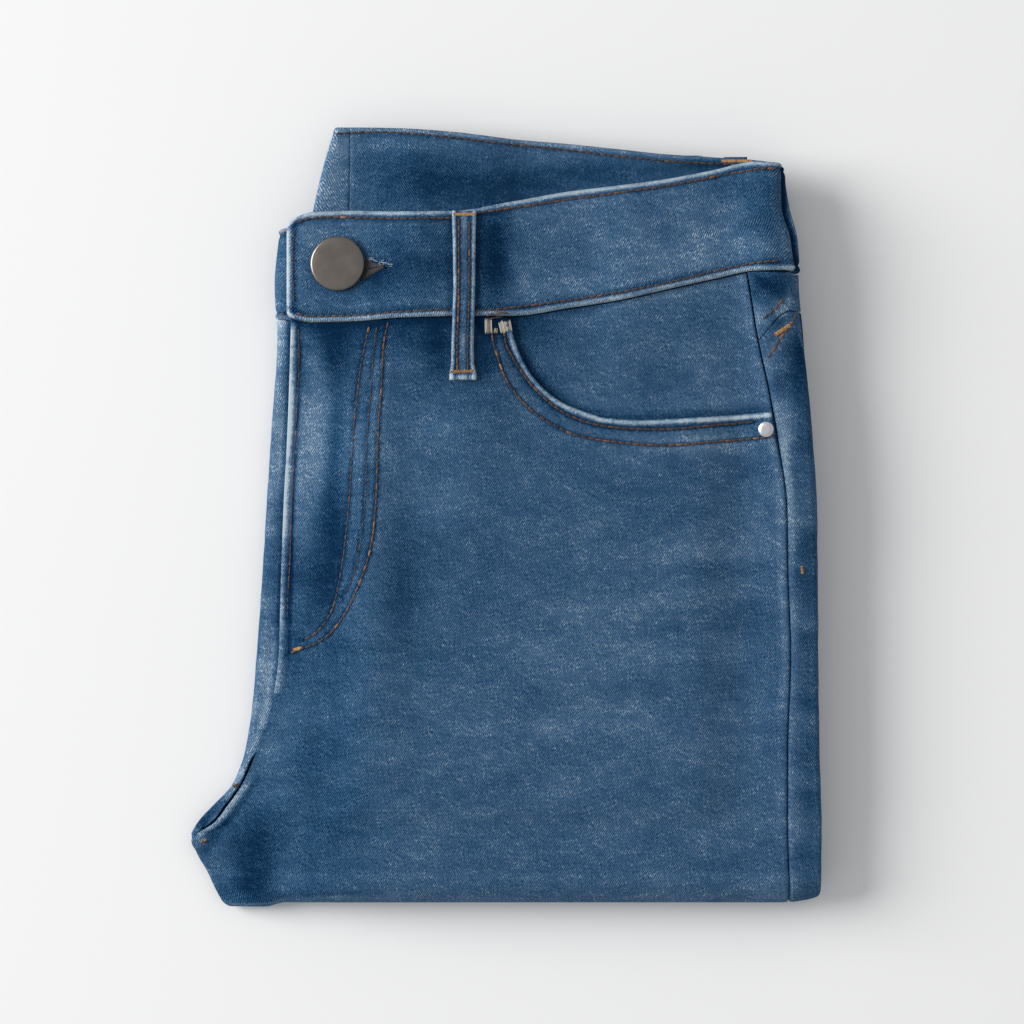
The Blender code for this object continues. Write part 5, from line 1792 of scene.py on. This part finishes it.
def turned(name, profile, place, tilt, steps_round):
    """A turned shape from radius and height pairs, laid on a sloping surface."""
    angles = 2 * math.pi * np.arange(steps_round) / steps_round
    ring = np.stack((np.cos(angles), np.sin(angles)), 1)
    points = [np.array([[0, 0, profile[0, 1]]])]
    for radius, height in profile[1:-1]:
        points.append(np.concatenate((ring * radius, np.full((steps_round, 1), height)), 1))
    points.append(np.array([[0, 0, profile[-1, 1]]]))
    points = np.concatenate(points)
    last = len(points) - 1
    faces = []
    for k in range(steps_round):
        n = (k + 1) % steps_round
        faces.append((0, 1 + k, 1 + n))
        for j in range(len(profile) - 3):
            a = 1 + j * steps_round
            faces.append((a + k, a + steps_round + k, a + steps_round + n, a + n))
        a = last - steps_round
        faces.append((a + n, a + k, last))
    slope_x, slope_y = tilt
    up = np.array((-slope_x, -slope_y, 1.0))
    up /= np.linalg.norm(up)
    right = np.array((1.0, 0, 0)) - up * up[0]
    right /= np.linalg.norm(right)
    ahead = np.cross(up, right)
    turned_points = points @ np.stack((right, ahead, up)) + np.asarray(place)
    return make_mesh(name, turned_points, faces)


def slopes(x, y, reach=4.0):
    return (float(level(0, x + reach, y) - level(0, x - reach, y)) / (2 * reach),
            float(level(0, x, y + reach) - level(0, x, y - reach)) / (2 * reach))


# Radius and height of the turned pieces from the middle of the top down, the button's as shares of its radius
BUTTON_FORM = table(
    "radius height",
    (0, 2.30),
    (0.30, 2.29),
    (0.60, 2.25),
    (0.80, 2.19),
    (0.86, 2.14),
    (0.885, 2.10),
    (0.90, 2.11),
    (0.93, 2.06),
    (0.96, 1.90),
    (0.985, 1.70),
    (1, 1.25),
    (1, 0.95),
    (0.985, 0.55),
    (0.95, 0.25),
    (0.86, 0.05),
)
RIVET_FORM = table(
    "radius height",
    (0, 0.80),
    (1.0, 0.79),
    (1.8, 0.77),
    (2.2, 0.72),
    (2.34, 0.60),
    (2.44, 0.62),
    (2.64, 0.60),
    (2.85, 0.42),
    (2.97, 0.18),
    (2.97, 0.05),
    (2.8, 0.0),
    (0, 0.0),
)


def build_metal():
    z = float(level(0, BUTTON_X, BUTTON_Y)) + BAND_WALL / 2 + 0.9
    foot = float(underlap_level(BUTTON_X, BUTTON_Y)) + BAND_WALL / 2 + 0.6 - z
    head = np.stack((BUTTON_RADIUS * BUTTON_FORM["radius"], BUTTON_FORM["height"]), 1)
    profile = np.concatenate((head, [(3.3, 0.0), (3.0, -0.1), (3.0, foot), (0, foot)]))
    button = turned("button_detailed", profile, (BUTTON_X, BUTTON_Y, z), slopes(BUTTON_X, BUTTON_Y), 96)
    z = float(level(0, RIVET_X, RIVET_Y)) + WALL / 2 + 0.3
    profile = np.stack((RIVET_FORM["radius"], RIVET_FORM["height"]), 1)
    rivet = turned("rivet_detailed", profile, (RIVET_X, RIVET_Y, z), slopes(RIVET_X, RIVET_Y), 48)
    return button, rivet


# Materials


class Value:
    """The output of a node, for sums with numbers and with other outputs."""

    def __init__(self, nodes, socket):
        self.nodes = nodes
        self.socket = socket

    def __add__(self, other):
        return self.nodes.math("ADD", self, other)

    def __sub__(self, other):
        return self.nodes.math("SUBTRACT", self, other)

    def __rsub__(self, other):
        return self.nodes.math("SUBTRACT", other, self)

    def __mul__(self, other):
        return self.nodes.math("MULTIPLY", self, other)


class Nodes:
    """A material, with short ways to add nodes to it."""

    def __init__(self, name, **settings):
        self.material = bpy.data.materials.new(name)
        self.material.use_nodes = True
        self.tree = self.material.node_tree
        self.shader = self.tree.nodes["Principled BSDF"]
        for socket, value in settings.items():
            self.shader.inputs[socket.replace("_", " ")].default_value = value

    def add(self, kind, **sources):
        """A node of a kind, with its inputs by name, and its first output."""
        node = self.tree.nodes.new("ShaderNode" + kind)
        for socket, source in sources.items():
            self.link(source, node.inputs[socket])
        return node, Value(self, node.outputs[0])

    def link(self, source, target):
        if isinstance(source, Value):
            self.tree.links.new(source.socket, target)
        else:
            target.default_value = source

    def attribute(self, name, output):
        node, _ = self.add("Attribute")
        node.attribute_name = name
        return Value(self, node.outputs[output])

    def coordinate(self):
        node, _ = self.add("TexCoord")
        return Value(self, node.outputs["Object"])

    def math(self, operation, a, b=0.0, c=0.0):
        node, value = self.add("Math")
        node.operation = operation
        for source, target in zip((a, b, c), node.inputs):
            self.link(source, target)
        return value

    def parts(self, vector):
        node, _ = self.add("SeparateXYZ", Vector=vector)
        return [Value(self, output) for output in node.outputs]

    def noise(self, vector, scale, detail=2.0, roughness=0.5):
        scaled, placed = self.add("VectorMath")
        scaled.operation = "MULTIPLY"
        self.link(vector, scaled.inputs[0])
        self.link(scale, scaled.inputs[1])
        _, value = self.add("TexNoise", Vector=placed, Scale=1.0, Detail=detail, Roughness=roughness)
        return value - 0.5

    def ramp(self, value, *stops):
        """Colours by value, as the shader's base colour."""
        node, colour_of = self.add("ValToRGB", Fac=value)
        elements = node.color_ramp.elements
        while len(elements) > 1:
            elements.remove(elements[-1])
        elements[0].position = stops[0][0]
        elements[0].color = (*stops[0][1], 1.0)
        for position, colour in stops[1:]:
            elements.new(position).color = (*colour, 1.0)
        self.link(colour_of, self.shader.inputs["Base Color"])

    def rough(self, value):
        self.link(value, self.shader.inputs["Roughness"])

    def bump(self, height, distance, strength=1.0):
        _, normal = self.add("Bump", Distance=distance, Strength=strength, Height=height)
        self.link(normal, self.shader.inputs["Normal"])


DENIM_STOPS = (
    (0.00, (0.0012, 0.015, 0.046)),
    (0.12, (0.003, 0.024, 0.064)),
    (0.25, (0.009, 0.041, 0.093)),
    (0.38, (0.020, 0.066, 0.138)),
    (0.50, (0.037, 0.095, 0.184)),
    (0.62, (0.061, 0.127, 0.224)),
    (0.75, (0.108, 0.182, 0.278)),
    (0.88, (0.222, 0.318, 0.405)),
    (1.00, (0.410, 0.485, 0.545)),
)


def denim(name, shift=0.0, slant=60.0, pitch=0.66, grain=1.0):
    """Twill with a slant in degrees and a pitch in mm, speckled, streaked, worn, and with painted shade and
    painted highlights, as its points say.
    """
    n = Nodes(name, Specular_IOR_Level=0.03, Sheen_Weight=0.008, Sheen_Roughness=0.5,
              Sheen_Tint=(0.62, 0.74, 0.88, 1.0))
    place = n.attribute("weave", "Vector")
    wear_and_shading = n.attribute("wear_and_shading", "Fac")
    u, v, _ = n.parts(place)
    cos = math.cos(math.radians(slant))
    sin = math.sin(math.radians(slant))
    across = v * cos - u * sin
    along = u * cos + v * sin
    _, twisted = n.add("CombineXYZ", X=across, Y=along)
    wander = n.noise(place, (0.55, 0.55, 0.0), 2.0)
    twill = n.math("SINE", across * (2 * math.pi / pitch) + wander * 3.0)
    broken = n.noise(twisted, (2.6, 0.9, 0.0), 1.0, 0.5)
    speck = n.noise(place, (2.7, 2.4, 0.0), 1.0, 0.5)
    streak = n.noise(place, (1.3, 0.10, 0.0), 3.0, 0.6)
    cross_streak = n.noise(place, (0.10, 1.1, 0.0), 2.0, 0.6)
    mottle = n.noise(place, (0.045, 0.075, 0.0), 3.0, 0.55)
    blotch = n.noise(place, (0.20, 0.26, 0.0), 3.0, 0.6)
    rubbed = n.math("MINIMUM", n.math("MAXIMUM", wear_and_shading - 0.2, 0.0), 0.3)
    fine = (broken * 0.95 + speck * 0.45 + twill * 0.125) * (blotch * 2.0 + 1.0)
    fine = fine * ((1.0 - rubbed * 2.2) * grain)
    broad = wear_and_shading + (0.5 + shift) + mottle * (0.34 * grain) + blotch * (0.26 * grain)
    n.ramp(broad + streak * 0.16 + cross_streak * 0.14 + fine, *DENIM_STOPS)
    n.bump(twill * 0.5 + broken * 1.2, 0.00009, 0.8)
    n.rough(blotch * 0.12 + 0.88)
    return n.material


def thread_material(name, *stops, ply=0.5):
    n = Nodes(name, Sheen_Weight=0.15)
    tone = n.attribute("tone", "Fac")
    place = n.coordinate()
    fine = n.noise(place, (2600.0, 2600.0, 2600.0), 2.0)
    x, y, _ = n.parts(place)
    twist = n.math("SINE", (x + y * 0.8) * 9000.0)
    n.ramp(tone + fine * 0.7 + twist * 0.10, *stops)
    n.bump(twist + fine, 0.00005, ply)
    n.rough(fine * 0.2 + 0.55)
    return n.material


BROWN_STOPS = ((0.0, (0.010, 0.009, 0.013)), (0.3, (0.036, 0.017, 0.011)), (0.5, (0.090, 0.037, 0.015)),
               (0.68, (0.21, 0.085, 0.026)), (0.85, (0.36, 0.17, 0.055)), (1.0, (0.50, 0.27, 0.10)))
CREAM_STOPS = ((0.0, (0.16, 0.13, 0.10)), (0.4, (0.40, 0.36, 0.29)), (1.0, (0.72, 0.68, 0.60)))
FRAY_STOPS = ((0.0, (0.20, 0.27, 0.34)), (1.0, (0.62, 0.68, 0.72)))


def metal(name, colour, roughness, scratch):
    n = Nodes(name, Metallic=1.0)
    place = n.coordinate()
    haze = n.noise(place, (180.0, 180.0, 180.0), 4.0, 0.6)
    fine = n.noise(place, (2200.0, 500.0, 900.0), 3.0, 0.6)
    darker = tuple(c * 0.82 for c in colour)
    lighter = tuple(min(c * 1.12, 1.0) for c in colour)
    n.ramp(haze * 0.7 + 0.5, (0.2, darker), (0.8, lighter))
    n.rough(haze * 0.14 + roughness + fine * 0.08)
    n.bump(fine, 0.000012, scratch)
    return n.material


def tape_material():
    """Dark ribbed tape, with its ribs 1.1 and 0.9 mm apart."""
    n = Nodes("zip_tape", Roughness=0.85)
    place = n.coordinate()
    x, y, _ = n.parts(place)
    rib = n.math("SINE", y * (2 * math.pi / 0.0011))
    rib_across = n.math("SINE", x * (2 * math.pi / 0.0009))
    fine = n.noise(place, (1500.0, 1500.0, 1500.0), 2.0)
    n.ramp(rib * 0.15 + (fine * 0.5 + 0.5), (0.0, (0.010, 0.016, 0.03)), (1.0, (0.05, 0.075, 0.12)))
    n.bump(rib + rib_across, 0.00012, 0.7)
    return n.material


def floor_material():
    n = Nodes("pale_floor", Roughness=0.75, Specular_IOR_Level=0.2)
    soft = n.noise(n.coordinate(), (3.0, 3.0, 3.0), 3.0)
    n.ramp(soft + 0.5, (0.0, (0.87, 0.87, 0.87)), (1.0, (0.89, 0.89, 0.89)))
    return n.material


# Pieces inside the pile


def build_back_pocket(half):
    number, way = (1, -1) if half == "left" else (2, 1)
    across = np.linspace(0, 1, 60)[None, :]
    down = np.linspace(0, 1, 64)[:, None]
    x = mix(BACK_POCKET_X[1], BACK_POCKET_X[0], across) + 0 * down
    low = -92.0 - 14.0 * (1 - np.abs(2 * across - 1))
    y = mix(BACK_POCKET_TOP, low, down)
    z = level(number, x, y) + way * (WALL / 2 + GAP + THIN_WALL / 2)
    grid = np.stack((x, y, z), 2)
    from_sides = np.minimum(x - BACK_POCKET_X[0], BACK_POCKET_X[1] - x)
    edge = np.minimum(from_sides, np.minimum(y - low, BACK_POCKET_TOP - y))
    relief = 0.10 * bell(edge, 1.0, 1.0) - 0.12 * bell(edge, 3.0, 0.7)
    wear_and_shading = 0.16 * bell(edge, 0.8, 0.9) + 0.05 * ripple(x + y, 3.0, 20.0)
    weave = weave_of(grid, len(grid))
    return shell(f"back_pocket_{half}_cloth", grid, THIN_WALL, weave, way, relief, 0.0, wear_and_shading, -0.05)


def build_zip():
    """The closed zip, a plain tape behind the fly."""
    across = np.linspace(0, 1, 22)[None, :]
    down = np.linspace(0, 1, 80)[:, None]
    x = mix(*ZIP_X, across) + 0 * down
    y = mix(*ZIP_Y, down) + 0 * across
    z = level(0, x, y) - WALL / 2 - GAP - THIN_WALL / 2
    grid = np.stack((x, y, z), 2)
    return shell("fly_zip_tape", grid, THIN_WALL, weave_of(grid, len(grid)), 1)


# Frame, looks and light

def add(piece, material, replaces=()):
    piece.data.materials.clear()
    piece.data.materials.append(material)
    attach(piece, "root")
    if replaces:
        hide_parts(*replaces)


def cloth(piece, material, node, width, length, area=None):
    add(piece, material, (node,))
    width * MM
    length * MM
    None if area is None else area * MM * MM


def build_jeans():
    cloth_denim = denim("denim_cloth")
    band_denim = denim("denim_waistband", slant=57.0, pitch=0.74, grain=1.05)
    loop_denim = denim("denim_loops", shift=-0.02)
    inside_denim = denim("denim_inside", shift=-0.03)
    brown = thread_material("thread_brown", *BROWN_STOPS)
    cream = thread_material("thread_cream", *CREAM_STOPS)
    fray = thread_material("thread_frayed", *FRAY_STOPS)
    dark_metal = metal("button_metal", (0.215, 0.192, 0.172), 0.34, 0.5)
    white_metal = metal("rivet_metal", (0.62, 0.63, 0.65), 0.34, 0.4)

    back_left, yoke_left = build_back("left")
    back_right, yoke_right = build_back("right")
    core = build_core()
    front_left = build_left_front()
    front_right = build_right_front()
    facing = build_facing()
    band_left, joint_weave = build_left_band()
    band_right = build_right_band(joint_weave)
    for piece, node, width, length, rests_on, area in (
        (core, "folded_legs", 205, 240, "front_left_cloth", None),
        (front_left, "front_left", 270, 520, "back_left_cloth", 100000),
        (front_right, "front_right", 250, 250, "folded_legs_cloth", 50000),
        (back_left, "back_left", 260, 250, "back_right_cloth", 50000),
        (back_right, "back_right", 260, 250, "front_right_cloth", 50000),
        (yoke_left, "yoke_left", 60, 220, "yoke_right_cloth", 6900),
        (yoke_right, "yoke_right", 60, 220, "front_right_cloth", 6900),
    ):
        cloth(piece, cloth_denim, node, width, length, area)
    cloth(facing, cloth_denim, "pocket_facing_left", 110, 90, 8500)
    cloth(band_left, band_denim, "waistband_left", 40, 340)
    cloth(band_right, band_denim, "waistband_right", 40, 400)
    for half in ("left", "right"):
        cloth(build_back_pocket(half), inside_denim, "back_pocket_" + half, 120, 134,
              15000)
    for node, loop in build_loops():
        band = "waistband_left_cloth" if "left" in node else "waistband_right_cloth"
        cloth(loop, loop_denim, node, 10, 62, 590)
    cloth(build_zip(), tape_material(), "fly_zip", 20, 108)
    button, rivet = build_metal()
    add(button, dark_metal, ("button",))
    add(rivet, white_metal, ("rivet",))
    for name, piece in build_threads().items():
        add(piece, {"corner_tack": cream, "buttonhole_fray": fray}.get(name, brown))


# The stage: camera in mm and picture points, floor and light in metres and watts
IMAGE_SIDE = 1024
SENSOR = 36.0
CAMERA_X = 2.22
CAMERA_Y = 1.67
CAMERA_DISTANCE = 2200.0
LEVEL_OF_SCALE = 20.0
FLOOR_HALF = 6.0
LIGHT_WAY = (-1.75, 0.46, 1.0)
LIGHT_DISTANCE = 3.6
LIGHT_SIZE = 2.45
LIGHT_POWER = 148.0
SKY_STRENGTH = 0.50


def build_stage():
    scene = bpy.context.scene
    floor_data = bpy.data.meshes.new("floor")
    corners = [(FLOOR_HALF * x, FLOOR_HALF * y, 0) for x, y in ((-1, -1), (1, -1), (1, 1), (-1, 1))]
    floor_data.from_pydata(corners, [], [(0, 1, 2, 3)])
    floor = bpy.data.objects.new("floor", floor_data)
    scene.collection.objects.link(floor)
    floor_data.materials.append(floor_material())

    camera_data = bpy.data.cameras.new("camera")
    camera = bpy.data.objects.new("camera", camera_data)
    scene.collection.objects.link(camera)
    camera.location = (CAMERA_X * MM, CAMERA_Y * MM, (LEVEL_OF_SCALE + CAMERA_DISTANCE) * MM)
    camera_data.sensor_width = SENSOR
    camera_data.lens = SENSOR * CAMERA_DISTANCE / (IMAGE_SIDE * PIXEL)
    camera_data.clip_start = 0.1
    camera_data.clip_end = 50.0
    scene.camera = camera

    light_data = bpy.data.lights.new("key_light", "AREA")
    light_data.shape = "DISK"
    light_data.size = LIGHT_SIZE
    light_data.energy = LIGHT_POWER
    light_data.color = (1.0, 0.99, 0.98)
    light = bpy.data.objects.new("key_light", light_data)
    light.location = Vector(LIGHT_WAY).normalized() * LIGHT_DISTANCE
    light.rotation_mode = "QUATERNION"
    light.rotation_quaternion = light.location.to_track_quat("Z", "Y")
    scene.collection.objects.link(light)

    world = bpy.data.worlds.new("world")
    scene.world = world
    world.use_nodes = True
    background = world.node_tree.nodes["Background"]
    background.inputs["Color"].default_value = (0.97, 0.985, 1.0, 1.0)
    background.inputs["Strength"].default_value = SKY_STRENGTH
    scene.view_settings.view_transform = "Standard"
    scene.view_settings.look = "None"


build_jeans()
build_stage()
